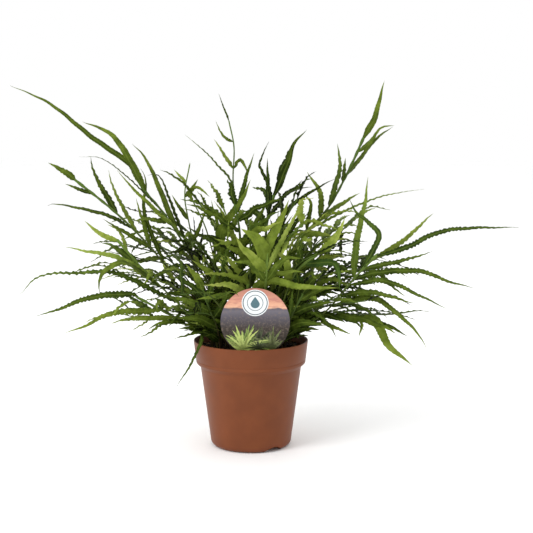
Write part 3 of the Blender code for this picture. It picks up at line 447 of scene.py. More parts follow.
@dataclass(frozen=True)
class Ink:
    """A flat printed ink or bare film with one colour and a soft gloss."""

    name: str
    colour: str
    roughness: float = 0.4
    speck_size: float = 1.5 * MM
    shading: float = 0.82

    def material(self) -> bpy.types.Material:
        """The ink, with the screen's faint unevenness.

        Returns:
            The material.
        """
        material, tree, shader = new_material(self.name)
        place = add_node(tree, "TexCoord").outputs["Object"]
        speck = add_node(tree, "TexNoise", {"Vector": place, "Scale": 1 / self.speck_size, "Detail": 3.0})
        shade = tuple(channel * self.shading for channel in srgb(self.colour)[:3]) + (1.0,)
        mixed = add_node(tree, "Mix", {
            "Factor": speck.outputs["Fac"], "A": srgb(self.colour), "B": shade,
        }, data_type="RGBA")
        set_sockets(tree, shader, {"Base Color": mixed.outputs[2], "Roughness": self.roughness})
        return material


# ---------------------------- meshes

def to_object(bm: bmesh.types.BMesh, name: str) -> bpy.types.Object:
    """Turns a bmesh into an object in the scene.

    Args:
        bm: The shape, in its place; it is freed.
        name: The object's name.

    Returns:
        The new object.
    """
    mesh = bpy.data.meshes.new(name)
    bm.to_mesh(mesh)
    bm.free()
    item = bpy.data.objects.new(name, mesh)
    bpy.context.scene.collection.objects.link(item)
    return item


def use_second_finish(vertices: list[bmesh.types.BMVert]) -> None:
    """Gives the faces round some vertices the piece's second material."""
    for face in {face for vertex in vertices for face in vertex.link_faces}:
        face.material_index = 1


def finish_piece(
    bm: bmesh.types.BMesh, name: str, materials: list[bpy.types.Material], sharp: float = 40
) -> bpy.types.Object:
    """Turns a bmesh into a finished piece that rides on the plant's one body.

    Args:
        bm: The shape, in its place; it is freed.
        name: The piece's name.
        materials: Its materials, in slot order.
        sharp: The angle in degrees past which an edge is sharp.

    Returns:
        The new object.
    """
    piece = to_object(bm, name)
    mesh = piece.data
    for material in materials:
        mesh.materials.append(material)
    mesh.shade_smooth()
    mesh.set_sharp_from_angle(angle=math.radians(sharp))
    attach(piece, BODY)
    LOG.info("%s: %d faces", name, len(mesh.polygons))
    return piece


def spin_profile(bm: bmesh.types.BMesh, profile: list[tuple[float, float]], steps: int) -> None:
    """Turns a profile of (radius, height) points round the pot's axis into a closed surface.

    Args:
        bm: The bmesh that takes the surface.
        profile: Points from axis to axis, or a closed loop whose first point is repeated at its end.
        steps: Sides of the turned shape.
    """
    rings = [bm.verts.new((radius, 0, height)) for radius, height in profile]
    edges = [bm.edges.new(pair) for pair in zip(rings, rings[1:])]
    bmesh.ops.spin(
        bm, geom=rings + edges, axis=UP, cent=(0, 0, 0), angle=2 * math.pi, steps=steps, use_merge=True
    )
    bmesh.ops.remove_doubles(bm, verts=bm.verts, dist=MERGE)
    bmesh.ops.recalc_face_normals(bm, faces=bm.faces)


# ---------------------------- paths and strips

PATH_STEPS = 10


def smooth_path(points: list[Vector]) -> tuple[list[Vector], list[float]]:
    """Close points along a smooth curve through the given ones.

    Args:
        points: The points that the curve runs through.

    Returns:
        The close points, and the length run at each.
    """
    ends = [points[0] * 2 - points[1], *points, points[-1] * 2 - points[-2]]
    path = [points[0].copy()]
    for p0, p1, p2, p3 in zip(ends, ends[1:], ends[2:], ends[3:]):
        for step in range(1, PATH_STEPS + 1):
            t = step / PATH_STEPS
            bend = (p0 * 2 - p1 * 5 + p2 * 4 - p3) * t * t
            swing = (p1 * 3 - p0 - p2 * 3 + p3) * t * t * t
            path.append((p1 * 2 + (p2 - p0) * t + bend + swing) / 2)
    runs = [0.0]
    for a, b in zip(path, path[1:]):
        runs.append(runs[-1] + (b - a).length)
    return path, runs


def along(path: list[Vector], runs: list[float], distance: float) -> tuple[Vector, Vector]:
    """The point and the direction of a path at a distance from its start.

    Args:
        path: The path's points.
        runs: The length run at each point.
        distance: The distance along the path.

    Returns:
        The point and the unit direction there.
    """
    i = 1
    while i < len(runs) - 1 and runs[i] < distance:
        i += 1
    share = (distance - runs[i - 1]) / (runs[i] - runs[i - 1])
    step = path[i] - path[i - 1]
    return path[i - 1] + step * share, step.normalized()


def square_to(vector: Vector, axis: Vector) -> Vector:
    """The part of a vector that is square to an axis, at unit length."""
    return (vector - axis * vector.dot(axis)).normalized()


class Habit(Enum):
    """How a leaflet grows: flat and smooth-edged, gently waved, or narrow and tightly crimped."""

    SMOOTH = 0.25
    WAVED = 0.65
    CRIMPED = 1.15


@dataclass
class Leaf:
    """A leaflet: where it leaves the stalk, its guide points and how it looks.

    Attributes:
        at: Where it leaves the stalk, as a share of the stalk's length.
        points: Its guide points, in mm from the middle of the rim's plane.
        width: Its width in mm.
        tone: 0 for the darkest green to 1 for the lightest, or None to follow its frond.
        cool: 0 for yellow-green to 1 for blue-green.
        habit: How its margin grows.
        sway: How far in mm its middle line wanders from side to side.
        full: How much broader it looks than the model's flat sheet, as a factor.
    """

    at: float
    points: list
    width: float
    tone: float | None = None
    cool: float = 0.0
    habit: Habit = Habit.WAVED
    sway: float = 0.25
    full: float = 1.18


@dataclass
class Frond:
    """A frond: a stalk and its leaflets.

    Attributes:
        name: Its node's name.
        foot: Where it stands on the peat, as shares of the bed's radius to the right and to the back.
        stalk: Its stalk's guide points, in mm from the middle of the rim's plane.
        leaves: Its leaflets.
        tone: 0 for the darkest green to 1 for the lightest.
        face: The way that its face looks.
        wing: How broad the green wings of its stalk are, 1 for the full breadth.
    """

    name: str
    foot: tuple
    stalk: list
    leaves: list
    tone: float = 0.5
    face: tuple = (0.0, -1.0, 0.25)
    wing: float = 1.0

    @property
    def front(self) -> Vector:
        """The way that its face looks, at unit length."""
        return Vector(self.face).normalized()


SMOOTH, CRIMPED = Habit.SMOOTH, Habit.CRIMPED
EYE_X, EYE_Y, EYE_HEIGHT = 16.4, -1300.0, 251.0


def sighted(point: tuple) -> tuple:
    """A drawn guide point, moved along its line of sight from 1.3 m in front of the pot to its own depth.

    Args:
        point: The point as drawn, in mm: its sides and height in the plane of the pot's axis, and its depth.

    Returns:
        The point in its place, in mm from the middle of the rim's plane.
    """
    x, y, z = point
    share = 1 - y / EYE_Y
    return (EYE_X + (x - EYE_X) * share, y, EYE_HEIGHT + (z - EYE_HEIGHT) * share)


def chosen_fronds() -> list[Frond]:
    """The fronds that give the plant its outline, with their guide points at their own depths.

    Returns:
        The chosen fronds.
    """
    fronds = drawn_fronds()
    for frond in fronds:
        frond.stalk = [sighted(point) for point in frond.stalk]
        for leaf in frond.leaves:
            leaf.points = [sighted(point) for point in leaf.points]
    return fronds


def drawn_fronds() -> list[Frond]:
    """The chosen fronds as drawn, from the left round to the right.

    Returns:
        The fronds, with their guide points as drawn.
    """
    return [
        Frond("frond_left_tall", (-0.40, 0.00), [
            (-42, 0, 40), (-66, -4, 94), (-89, -8, 131), (-112, -12, 159), (-116, -14, 172),
        ], [
            Leaf(
                1.0, [(-130, -18, 188), (-164, -20, 212), (-205, -26, 245), (-246, -30, 264)],
                5, 0.40, habit=SMOOTH,
            ),
            Leaf(0.90, [(-139, -24, 209), (-172, -30, 226)], 8, 0.50, habit=SMOOTH),
            Leaf(0.62, [(-104, 2, 182), (-122, 6, 205)], 7, 0.48, habit=SMOOTH),
            Leaf(0.45, [(-84, 4, 148), (-94, 8, 171), (-107, 10, 172)], 6),
            Leaf(0.80, [(-126, -24, 169), (-153, -34, 189), (-177, -38, 191)], 4),
            Leaf(0.68, [(-123, -16, 160), (-138, -22, 178)], 4),
        ], tone=0.42),
        Frond("frond_left_upper", (-0.52, -0.12), [
            (-60, -8, 45), (-90, -10, 80), (-114, -12, 108), (-144, -16, 137), (-181, -20, 167),
        ], [
            Leaf(1.0, [(-192, -21, 176), (-209, -22, 185)], 6),
            Leaf(0.76, [(-160, -10, 172), (-165, -6, 192)], 7),
            Leaf(0.64, [(-140, -2, 155), (-147, 4, 178)], 6),
            Leaf(0.56, [(-119, -2, 149)], 5),
            Leaf(0.67, [(-150, -30, 131), (-199, -36, 142), (-211, -38, 140)], 4),
            Leaf(0.90, [(-192, -28, 163)], 4),
            Leaf(0.55, [(-154, -26, 127)], 5),
            Leaf(0.46, [(-110, 2, 133), (-108, 6, 165), (-114, 8, 180)], 5),
        ], tone=0.52),
        Frond("frond_left_broad", (-0.60, -0.28), [
            (-70, -18, 32), (-98, -22, 60), (-116, -26, 78), (-138, -30, 104),
        ], [
            Leaf(1.0, [(-154, -32, 110), (-173, -36, 125)], 5),
            Leaf(0.90, [(-136, -20, 114), (-150, -20, 122)], 5),
            Leaf(0.78, [(-145, -36, 99), (-156, -40, 102)], 10),
            Leaf(0.70, [(-141, -40, 87), (-172, -48, 93), (-194, -52, 98)], 6),
            Leaf(0.58, [(-130, -44, 80), (-150, -54, 74), (-158, -58, 63), (-158, -60, 47)], 9),
            Leaf(
                0.42, [(-139, -48, 69), (-177, -58, 70), (-219, -66, 67), (-243, -70, 46)],
                6, 0.44, habit=CRIMPED,
            ),
        ], tone=0.60),
        Frond("frond_left_low", (-0.70, -0.10), [
            (-62, -20, 16), (-85, -34, 26), (-103, -44, 36), (-118, -50, 44),
        ], [
            Leaf(1.0, [(-127, -52, 48), (-167, -62, 44), (-204, -70, 30), (-225, -74, 24)], 6, habit=CRIMPED),
            Leaf(0.72, [(-144, -62, 28), (-172, -68, 15), (-196, -72, 6)], 6, habit=CRIMPED),
            Leaf(0.56, [(-130, -60, 21), (-149, -66, 15)], 5),
            Leaf(0.42, [(-92, -50, 18), (-109, -58, 10)], 5),
            Leaf(0.22, [(-52, -44, 0), (-62, -52, -24), (-79, -54, -52)], 4),
        ], tone=0.50),
        Frond("frond_slender", (-0.30, 0.26), [
            (-38, 16, 50), (-56, 20, 90), (-66, 22, 133), (-68, 22, 155), (-63, 22, 182),
        ], [
            Leaf(0.45, [(-70, 20, 100)], 4),
            Leaf(0.58, [(-46, 22, 136)], 4),
            Leaf(0.70, [(-82, 24, 152)], 4),
            Leaf(0.82, [(-54, 22, 168)], 4),
            Leaf(0.90, [(-79, 24, 178)], 3),
        ], tone=0.60, wing=0.1),
        Frond("frond_hooked", (-0.28, -0.20), [
            (-28, -10, 40), (-37, -10, 81), (-47, -12, 118), (-60, -12, 146),
        ], [
            Leaf(1.0, [(-63, -13, 153), (-55, -14, 160), (-42, -15, 149)], 4),
            Leaf(0.60, [(-34, -6, 116), (-41, -4, 147)], 5),
        ], tone=0.55, wing=0.1),
        Frond("frond_centre_tall", (-0.10, 0.22), [
            (-10, 20, 60), (-12, 24, 114), (-18, 28, 163), (-17, 28, 200), (-22, 28, 227),
        ], [
            Leaf(1.0, [(-26, 29, 238), (-33, 30, 256)], 3, full=0.7),
            Leaf(0.90, [(-28, 24, 212), (-36, 24, 228)], 3),
            Leaf(0.78, [(-28, 22, 194), (-38, 20, 210)], 4),
            Leaf(0.80, [(-10, 34, 188), (-2, 38, 172)], 4),
            Leaf(0.60, [(-20, 18, 164), (-34, 12, 182), (-49, 10, 198), (-68, 8, 214)], 4),
            Leaf(0.58, [(-4, 32, 172), (4, 32, 195)], 5),
            Leaf(0.42, [(8, 30, 128), (20, 32, 150)], 6),
            Leaf(0.40, [(-28, 20, 130), (-38, 16, 146)], 6),
        ], tone=0.48, wing=0.15),
        Frond("frond_centre_broad", (-0.10, -0.12), [(-14, -12, 30), (-24, -16, 60), (-31, -18, 84)], [
            Leaf(1.0, [(-31, -20, 112), (-20, -22, 132), (-7, -24, 151), (0, -24, 168)], 9),
            Leaf(0.70, [(-10, -26, 84), (8, -30, 100)], 7),
            Leaf(0.62, [(-42, -28, 70), (-62, -36, 84)], 8),
        ], tone=0.40),
        Frond("frond_dark_spire", (0.12, 0.08), [(12, 8, 50), (15, 10, 100), (18, 12, 130), (24, 14, 151)], [
            Leaf(
                1.0, [(28, 14, 159), (38, 16, 184), (45, 16, 205), (58, 18, 219)],
                9, 0.28, habit=SMOOTH, full=0.85,
            ),
            Leaf(0.93, [(46, 8, 157), (65, 4, 160)], 3),
            Leaf(0.80, [(20, 8, 152), (11, 4, 177), (9, 4, 184), (19, 4, 206)], 5),
            Leaf(0.86, [(18, 18, 164), (17, 18, 190)], 5),
            Leaf(0.70, [(41, 4, 139), (68, -2, 158), (88, -6, 169)], 5),
            Leaf(0.52, [(32, 2, 112), (44, -2, 132)], 6),
            Leaf(0.50, [(0, 4, 110), (-8, 2, 130)], 6),
        ], tone=0.26),
        Frond("frond_right_tall", (0.38, 0.10), [
            (34, 6, 60), (48, 10, 104), (67, 12, 123), (84, 14, 144), (104, 20, 183), (116, 24, 210),
        ], [
            Leaf(1.0, [(127, 28, 230), (132, 30, 249), (137, 32, 269)], 6, 0.52, habit=SMOOTH),
            Leaf(0.93, [(122, 18, 206), (134, 14, 221), (148, 10, 223)], 6, 0.54, habit=SMOOTH),
            Leaf(0.82, [(110, 30, 185), (128, 36, 208), (146, 40, 222)], 6, 0.46, habit=SMOOTH),
            Leaf(0.78, [(98, 12, 190)], 5),
            Leaf(0.66, [(87, 8, 161), (92, 6, 183), (89, 4, 205)], 7, 0.52),
            Leaf(0.60, [(72, 6, 153), (58, 2, 176)], 6),
            Leaf(0.54, [(62, 4, 142), (54, 0, 152)], 5),
            Leaf(0.60, [(100, 22, 146), (113, 24, 154)], 6),
            Leaf(0.52, [(101, 4, 137), (138, -6, 151), (180, -16, 158)], 4),
        ], tone=0.42),
        Frond("frond_right_long", (0.50, -0.26), [
            (58, -22, 15), (80, -28, 31), (95, -32, 49), (112, -36, 69), (131, -40, 89),
        ], [
            Leaf(
                1.0, [(140, -42, 90), (164, -46, 98), (193, -50, 112), (224, -54, 117), (279, -62, 118)],
                5, 0.34, habit=CRIMPED,
            ),
            Leaf(0.93, [(159, -34, 104), (182, -28, 126), (190, -26, 133)], 7, 0.66),
            Leaf(0.86, [(160, -50, 84), (190, -56, 93)], 5, 0.44, habit=CRIMPED),
            Leaf(
                0.78, [(134, -48, 71), (177, -58, 72), (204, -64, 62), (234, -70, 54)],
                6, 0.38, habit=CRIMPED,
            ),
            Leaf(0.70, [(139, -54, 62), (179, -64, 45), (206, -70, 32)], 5, 0.42, habit=CRIMPED),
            Leaf(0.60, [(126, -50, 50), (171, -66, 38)], 6, 0.40, habit=CRIMPED),
            Leaf(0.50, [(126, -36, 44), (156, -50, 25), (176, -56, 5), (185, -60, -11)], 6),
            Leaf(0.76, [(110, -30, 99), (115, -26, 127), (119, -24, 146), (121, -22, 171)], 7, 0.60, 0.3),
            Leaf(0.88, [(133, -34, 108), (120, -26, 124), (110, -24, 132), (101, -24, 147)], 6, 0.34, 0.4),
        ], tone=0.62),
        Frond("frond_right_low", (0.62, -0.08), [
            (60, -6, 17), (80, -8, 24), (100, -10, 26), (118, -12, 24),
        ], [
            Leaf(1.0, [(132, -16, 18), (144, -20, -6), (170, -26, -28)], 9),
            Leaf(0.82, [(144, -6, 26), (174, -4, 30), (190, -2, 29)], 6),
            Leaf(0.76, [(116, -22, 18), (113, -30, 2)], 5),
            Leaf(0.50, [(85, -26, 14), (106, -36, 5)], 5),
            Leaf(0.56, [(106, 4, 24), (130, 10, 14)], 7),
            Leaf(0.90, [(144, -14, 14), (165, -16, 3)], 6),
        ], tone=0.56),
        Frond("frond_front_light", (0.00, -0.42), [(-2, -30, 24), (-4, -36, 45), (-3, -40, 58)], [
            Leaf(1.0, [(-14, -44, 66), (-36, -50, 70), (-60, -54, 68)], 8),
            Leaf(0.80, [(18, -40, 62), (49, -44, 56), (93, -48, 54)], 8),
            Leaf(0.82, [(-22, -46, 58), (-50, -52, 57)], 7),
            Leaf(0.60, [(-26, -42, 46), (-58, -46, 42)], 7),
        ], tone=0.62),
        Frond("frond_front_fan", (0.16, -0.30), [(14, -34, 42), (16, -46, 68), (17, -52, 92)], [
            Leaf(1.0, [(20, -54, 104), (30, -54, 124), (40, -52, 147)], 9),
            Leaf(0.92, [(8, -60, 104), (-10, -64, 117)], 14),
            Leaf(0.90, [(26, -46, 112), (29, -44, 136)], 7),
            Leaf(0.80, [(0, -58, 88), (-9, -62, 96), (-16, -62, 109)], 9),
            Leaf(0.72, [(0, -54, 80), (-18, -58, 82)], 8),
            Leaf(0.70, [(34, -56, 84), (53, -58, 86)], 7),
            Leaf(0.84, [(40, -48, 118), (56, -46, 146)], 6),
        ], tone=0.70),
        Frond("frond_rim_left", (-0.55, -0.40), [(-36, -28, 14), (-44, -32, 34), (-50, -34, 52)], [
            Leaf(1.0, [(-57, -36, 66), (-68, -38, 80)], 7),
            Leaf(0.36, [(-56, -42, 22), (-78, -52, 22)], 8),
            Leaf(0.50, [(-30, -40, 36), (-24, -46, 48)], 7),
            Leaf(0.62, [(-64, -40, 40), (-88, -50, 46)], 7),
            Leaf(0.76, [(-40, -40, 62), (-32, -44, 76)], 7),
            Leaf(0.86, [(-64, -38, 58), (-80, -44, 66)], 6),
        ], tone=0.34),
        Frond("frond_rim_right", (0.56, -0.42), [(38, -28, 14), (46, -32, 32), (54, -34, 48)], [
            Leaf(1.0, [(62, -36, 60), (76, -38, 72)], 7),
            Leaf(0.36, [(56, -42, 18), (78, -50, 14)], 8),
            Leaf(0.50, [(42, -42, 40), (44, -48, 54)], 7),
            Leaf(0.62, [(66, -40, 36), (90, -48, 40)], 7),
            Leaf(0.78, [(50, -42, 58), (48, -46, 74)], 7),
            Leaf(0.86, [(70, -38, 52), (88, -42, 58)], 6),
        ], tone=0.30),
        Frond("frond_front_right", (0.34, -0.40), [(34, -30, 40), (48, -34, 72), (72, -36, 92)], [
            Leaf(1.0, [(80, -36, 98), (90, -36, 110), (98, -36, 128)], 8, 0.80),
            Leaf(0.66, [(54, -44, 59), (48, -54, 18)], 8, 0.44, 0.8),
            Leaf(0.82, [(87, -44, 79), (93, -48, 51)], 7, 0.42, 0.8),
            Leaf(0.60, [(36, -40, 84), (22, -44, 96)], 8),
        ], tone=0.66),
    ]


# ---------------------------- how the fronds grow

@dataclass
class Strip:
    """Stations along a narrow sheet: middle points, side vectors and widths."""

    middles: list = field(default_factory=list)
    sides: list = field(default_factory=list)
    widths: list = field(default_factory=list)

    def add(self, middle: Vector, side: Vector, width: float) -> None:
        """Adds one station.

        Args:
            middle: The station's middle.
            side: The unit vector across the sheet.
            width: The sheet's width there.
        """
        self.middles.append(middle)
        self.sides.append(side)
        self.widths.append(width)

    def edge(self, i: int, side: int) -> Vector:
        """A station's end point, on the right for 1 and on the left for -1."""
        return self.middles[i] + self.sides[i] * self.widths[i] / 2 * side


@dataclass
class Bed:
    """The peat's heaped top, which every stalk stands on."""

    radius: float
    edge: float
    heap: float

    def height(self, radius: float) -> float:
        """The peat's height at a distance from the pot's axis."""
        share = min(radius / self.radius, 1.0)
        return self.edge + self.heap * (1 - share * share)


@dataclass
class Growth:
    """The rule by which stalks and leaflets take their places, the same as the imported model's."""

    bed: Bed
    rim: float
    clearance: float = 0.3 * MM
    stalk_width: float = 1.9 * MM
    stalk_tip_width: float = 1.2 * MM
    stalk_thickness: float = 1.6 * MM
    blade_thickness: float = 0.5 * MM
    blade_end: float = 0.6 * MM
    seat: float = 4 * MM
    space: float = 1.2 * MM
    foot: float = 6 * MM
    step: float = 34 * MM
    short: float = 55 * MM
    long: float = 110 * MM
    short_stations: tuple = (0.0, 0.3, 0.66, 1.0)
    middle_stations: tuple = (0.0, 0.2, 0.48, 0.76, 1.0)
    long_stations: tuple = (0.0, 0.14, 0.32, 0.5, 0.68, 0.85, 1.0)
    turns: tuple = (0, 9, -9, 18, -18, 27, -27, 36, -36, 45, -45, 54, -54, 63, -63, 72, -72)
    lean_rings: tuple = (5, 10, 16, 24, 32)
    wide_rings: tuple = (40, 48, 56)
    lean_ways: int = 8
    leaf_leans: tuple = (0, 6, -6, 12, -12, 18, -18, 26, -26)
    leaf_shares: tuple = (1.0, 0.7, 0.45)
    blade_foot: float = 0.5
    blade_swelling: float = 2.5
    blade_taper: tuple = (2.2, 0.8)

    def guide(self, point: tuple) -> Vector:
        """A guide point in mm from the middle of the rim's plane, as a place in the model."""
        return Vector(point) * MM + UP * self.rim

    def leans(self, rings: tuple) -> list[tuple[float, float]]:
        """Leans in mm forwards and sideways, all round in rings.

        Args:
            rings: How far each ring leans, in mm.

        Returns:
            Pairs of leans, ring by ring.
        """
        leans = []
        for ring in rings:
            for way in range(self.lean_ways):
                angle = way * 2 * math.pi / self.lean_ways
                leans.append((ring * math.cos(angle), ring * math.sin(angle)))
        return leans

    def stalk_tries(self) -> list[tuple]:
        """The foot turns and leans that a stalk tries: small leans at each turn first, then wide ones."""
        small = [(0.0, 0.0)] + self.leans(self.lean_rings)
        return [*product(self.turns, small), *product(self.turns, self.leans(self.wide_rings))]

    def stalk_path(self, frond: Frond, lean: tuple, turn: float) -> tuple[list[Vector], list[float]]:
        """The stalk's path, straight up out of the peat and then through its guide points.

        Args:
            frond: The frond.
            lean: Its lean in mm, forwards and sideways.
            turn: Degrees by which its foot is turned round the pot's axis.

        Returns:
            The path's points, and the length run at each.
        """
        flat = Matrix.Rotation(math.radians(turn), 3, "Z") @ Vector((*frond.foot, 0)) * self.bed.radius
        foot = flat + UP * (self.bed.height(flat.length - self.stalk_thickness) + self.clearance)
        shift = (frond.front * lean[0] + frond.front.cross(UP).normalized() * lean[1]) * MM
        points = [foot + UP * self.foot]
        for i, point in enumerate(frond.stalk):
            points.append(self.guide(point) + shift * (i + 1) / len(frond.stalk))
        path, runs = smooth_path(points)
        return [foot] + path, [0.0] + [run + self.foot for run in runs]

    def seats(self, frond: Frond, path: list[Vector], runs: list[float]) -> list[tuple]:
        """The seat of each leaflet: (start along the stalk, side, leaflet), opposite ones sharing a seat.

        Args:
            frond: The frond.
            path: Its stalk's path.
            runs: The length run at each point of the path.

        Returns:
            The seats, from the foot up.
        """
        seats = []
        length = runs[-1]
        face = frond.front
        for leaf in sorted(frond.leaves, key=lambda leaf: leaf.at):
            if leaf.at >= 1.0:
                continue
            start = min(leaf.at * length, length - self.seat - self.space)
            middle, tangent = along(path, runs, start)
            side = 1 if (self.guide(leaf.points[0]) - middle).dot(tangent.cross(face)) > 0 else -1
            if seats:
                last = seats[-1][0]
                taken = {s for begun, s, _ in seats if begun == last}
                if start < last + self.seat + self.space:
                    start = last if side not in taken else last + self.seat + self.space
            seats.append((start, side, leaf))
        return [seat for seat in seats if seat[0] + self.seat + self.space < length]

    def stops(self, seats: list[tuple], length: float) -> list[float]:
        """Distances along the stalk at which the model has a station.

        Args:
            seats: The leaflets' seats.
            length: The stalk's length.

        Returns:
            The distances, in rising order.
        """
        fixed = {0.0, self.foot, length}
        for start, _, _ in seats:
            fixed.update((start, start + self.seat))
        stops = []
        for a, b in zip(sorted(fixed), sorted(fixed)[1:]):
            pieces = max(1, math.ceil((b - a) / self.step))
            stops += [a + (b - a) * i / pieces for i in range(pieces)]
        return stops + [length]

    def stalk_strip(self, frond: Frond, path: list[Vector], runs: list[float], stops: list[float]) -> Strip:
        """The stalk's stations.

        Args:
            frond: The frond.
            path: Its stalk's path.
            runs: The length run at each point of the path.
            stops: Distances along the stalk at which it has a station.

        Returns:
            The stations from foot to tip.
        """
        strip = Strip()
        face = frond.front
        for stop in stops:
            middle, tangent = along(path, runs, stop)
            if stop < self.foot:
                tangent = UP
            side = tangent.cross(face).normalized()
            width = self.stalk_width + (self.stalk_tip_width - self.stalk_width) * stop / stops[-1]
            strip.add(middle, side, width)
        return strip

    def breadth(self, width: float, share: float) -> float:
        """A leaflet's breadth at a share of its length: narrow at its foot, and drawn out to a thread.

        Args:
            width: The leaflet's width in mm.
            share: The share of its length, 0 at its foot.

        Returns:
            The breadth in metres.
        """
        swelling = min(1.0, self.blade_foot + self.blade_swelling * share)
        inner, outer = self.blade_taper
        taper = (1 - share ** inner) ** outer
        return max(width * MM * swelling * taper, self.blade_end)


@dataclass
class LeafPath:
    """A leaflet's line in space: its path from its seat, its plane, and how far it leans."""

    growth: Growth
    leaf: Leaf
    seat_middle: Vector
    seat_along: Vector
    face: Vector
    share: float
    lean: float

    def __post_init__(self) -> None:
        """Works out the smooth path and the blade's plane."""
        points = [self.seat_middle] + [self.growth.guide(point) for point in self.leaf.points]
        self.path, self.runs = smooth_path(points)
        self.length = self.runs[-1] * self.share
        outward = (along(self.path, self.runs, self.length / 2)[0] - self.seat_middle).normalized()
        self.plane = outward.cross(square_to(self.seat_along, outward)).normalized()

    def station(self, share: float) -> tuple[Vector, Vector, Vector]:
        """The middle, the side vector and the normal at a share of the leaflet's length.

        Args:
            share: The share of its length, 0 at its foot.

        Returns:
            The middle, the unit vector across the blade and its unit normal.
        """
        middle, tangent = along(self.path, self.runs, share * self.length)
        side = self.plane.cross(tangent).normalized()
        return middle + self.face * self.lean * MM * share, side, side.cross(tangent).normalized()

    def stations(self) -> tuple:
        """The shares at which the model has a station.

        Returns:
            Shares of the leaflet's length: more of them on a longer leaflet.
        """
        if self.length < self.growth.short:
            return self.growth.short_stations
        if self.length > self.growth.long:
            return self.growth.long_stations
        return self.growth.middle_stations


@dataclass
class GrownFrond:
    """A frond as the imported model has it: its stalk's path and the leaflets that found room."""

    frond: Frond
    path: list
    runs: list
    leaves: list


class Grower:
    """Reads from each node which of its tries every stalk and leaflet was given."""

    STALK_MISFIT = 0.03 * MM
    LEAF_MISFIT = 0.08 * MM

    def __init__(self, growth: Growth) -> None:
        """Keeps the growth rule."""
        self.growth = growth

    def tree_of(self, name: str) -> KDTree:
        """A search tree over a node's corners.

        Args:
            name: The node's name.

        Returns:
            The tree.
        """
        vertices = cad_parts[name].data.vertices
        tree = KDTree(len(vertices))
        for i, vertex in enumerate(vertices):
            tree.insert(vertex.co, i)
        tree.balance()
        return tree

    @staticmethod
    def misfit(tree: KDTree, points: list[Vector], thickness: float) -> float:
        """How far, on average, a sheet's points are from half a thickness away from the node's corners.

        Args:
            tree: The node's search tree.
            points: Points on the sheet's middle plane.
            thickness: The sheet's thickness.

        Returns:
            The average distance in metres.
        """
        return sum(abs(tree.find(point)[2] - thickness / 2) for point in points) / len(points)

    def read(self, frond: Frond) -> GrownFrond:
        """Finds the frond's tries in its node.

        Args:
            frond: The frond's guide points.

        Returns:
            The frond as it stands in the model.
        """
        growth = self.growth
        tree = self.tree_of(frond.name)
        best = None
        for turn, lean in growth.stalk_tries():
            path, runs = growth.stalk_path(frond, lean, turn)
            seats = growth.seats(frond, path, runs)
            stops = growth.stops(seats, runs[-1])
            stalk = growth.stalk_strip(frond, path, runs, stops)
            ends = [stalk.edge(i, side) for i in range(len(stops)) for side in (-1, 1)]
            misfit = self.misfit(tree, ends, growth.stalk_thickness)
            if best is None or misfit < best[0]:
                best = (misfit, path, runs, seats, stops, stalk)
            if misfit < self.STALK_MISFIT:
                break
        misfit, path, runs, seats, stops, stalk = best
        tips = [(None, 0, leaf) for leaf in frond.leaves if leaf.at >= 1.0][:1]
        leaves = []
        for start, side, leaf in tips + seats:
            line = self.read_leaf(tree, frond, leaf, start, side, stops, stalk)
            if line:
                leaves.append(line)
        found = f"{len(leaves)} leaflets of {len(frond.leaves)}"
        LOG.info("%s: misfit %.3f mm, %s", frond.name, misfit / MM, found)
        return GrownFrond(frond, path, runs, leaves)

    def read_leaf(
        self, tree: KDTree, frond: Frond, leaf: Leaf, start: float | None, side: int,
        stops: list, stalk: Strip,
    ) -> LeafPath | None:
        """The leaflet's line at the try whose stations the node has, or None if it was left out.

        Args:
            tree: The node's search tree.
            frond: The frond.
            leaf: The leaflet.
            start: Where its seat begins along the stalk, or None for the leaflet at the tip.
            side: 1 for a seat on the stalk's right side and -1 for one on its left.
            stops: Distances along the stalk at which it has a station.
            stalk: The stalk's stations.

        Returns:
            The leaflet's line, or None.
        """
        if start is None:
            seat_middle, seat_along = stalk.middles[-1], stalk.sides[-1]
        else:
            i = stops.index(start)
            near, far = stalk.edge(i, side), stalk.edge(i + 1, side)
            seat_middle, seat_along = (near + far) / 2, (far - near).normalized()
        for share, lean in product(self.growth.leaf_shares, self.growth.leaf_leans):
            line = LeafPath(self.growth, leaf, seat_middle, seat_along, frond.front, share, lean)
            points = []
            for at in line.stations()[1:]:
                middle, across, _ = line.station(at)
                half = across * self.growth.breadth(leaf.width, at) / 2
                points += [middle - half, middle + half]
            if self.misfit(tree, points, self.growth.blade_thickness) < self.LEAF_MISFIT:
                return line
        return None


# ---------------------------- fronds placed by rule

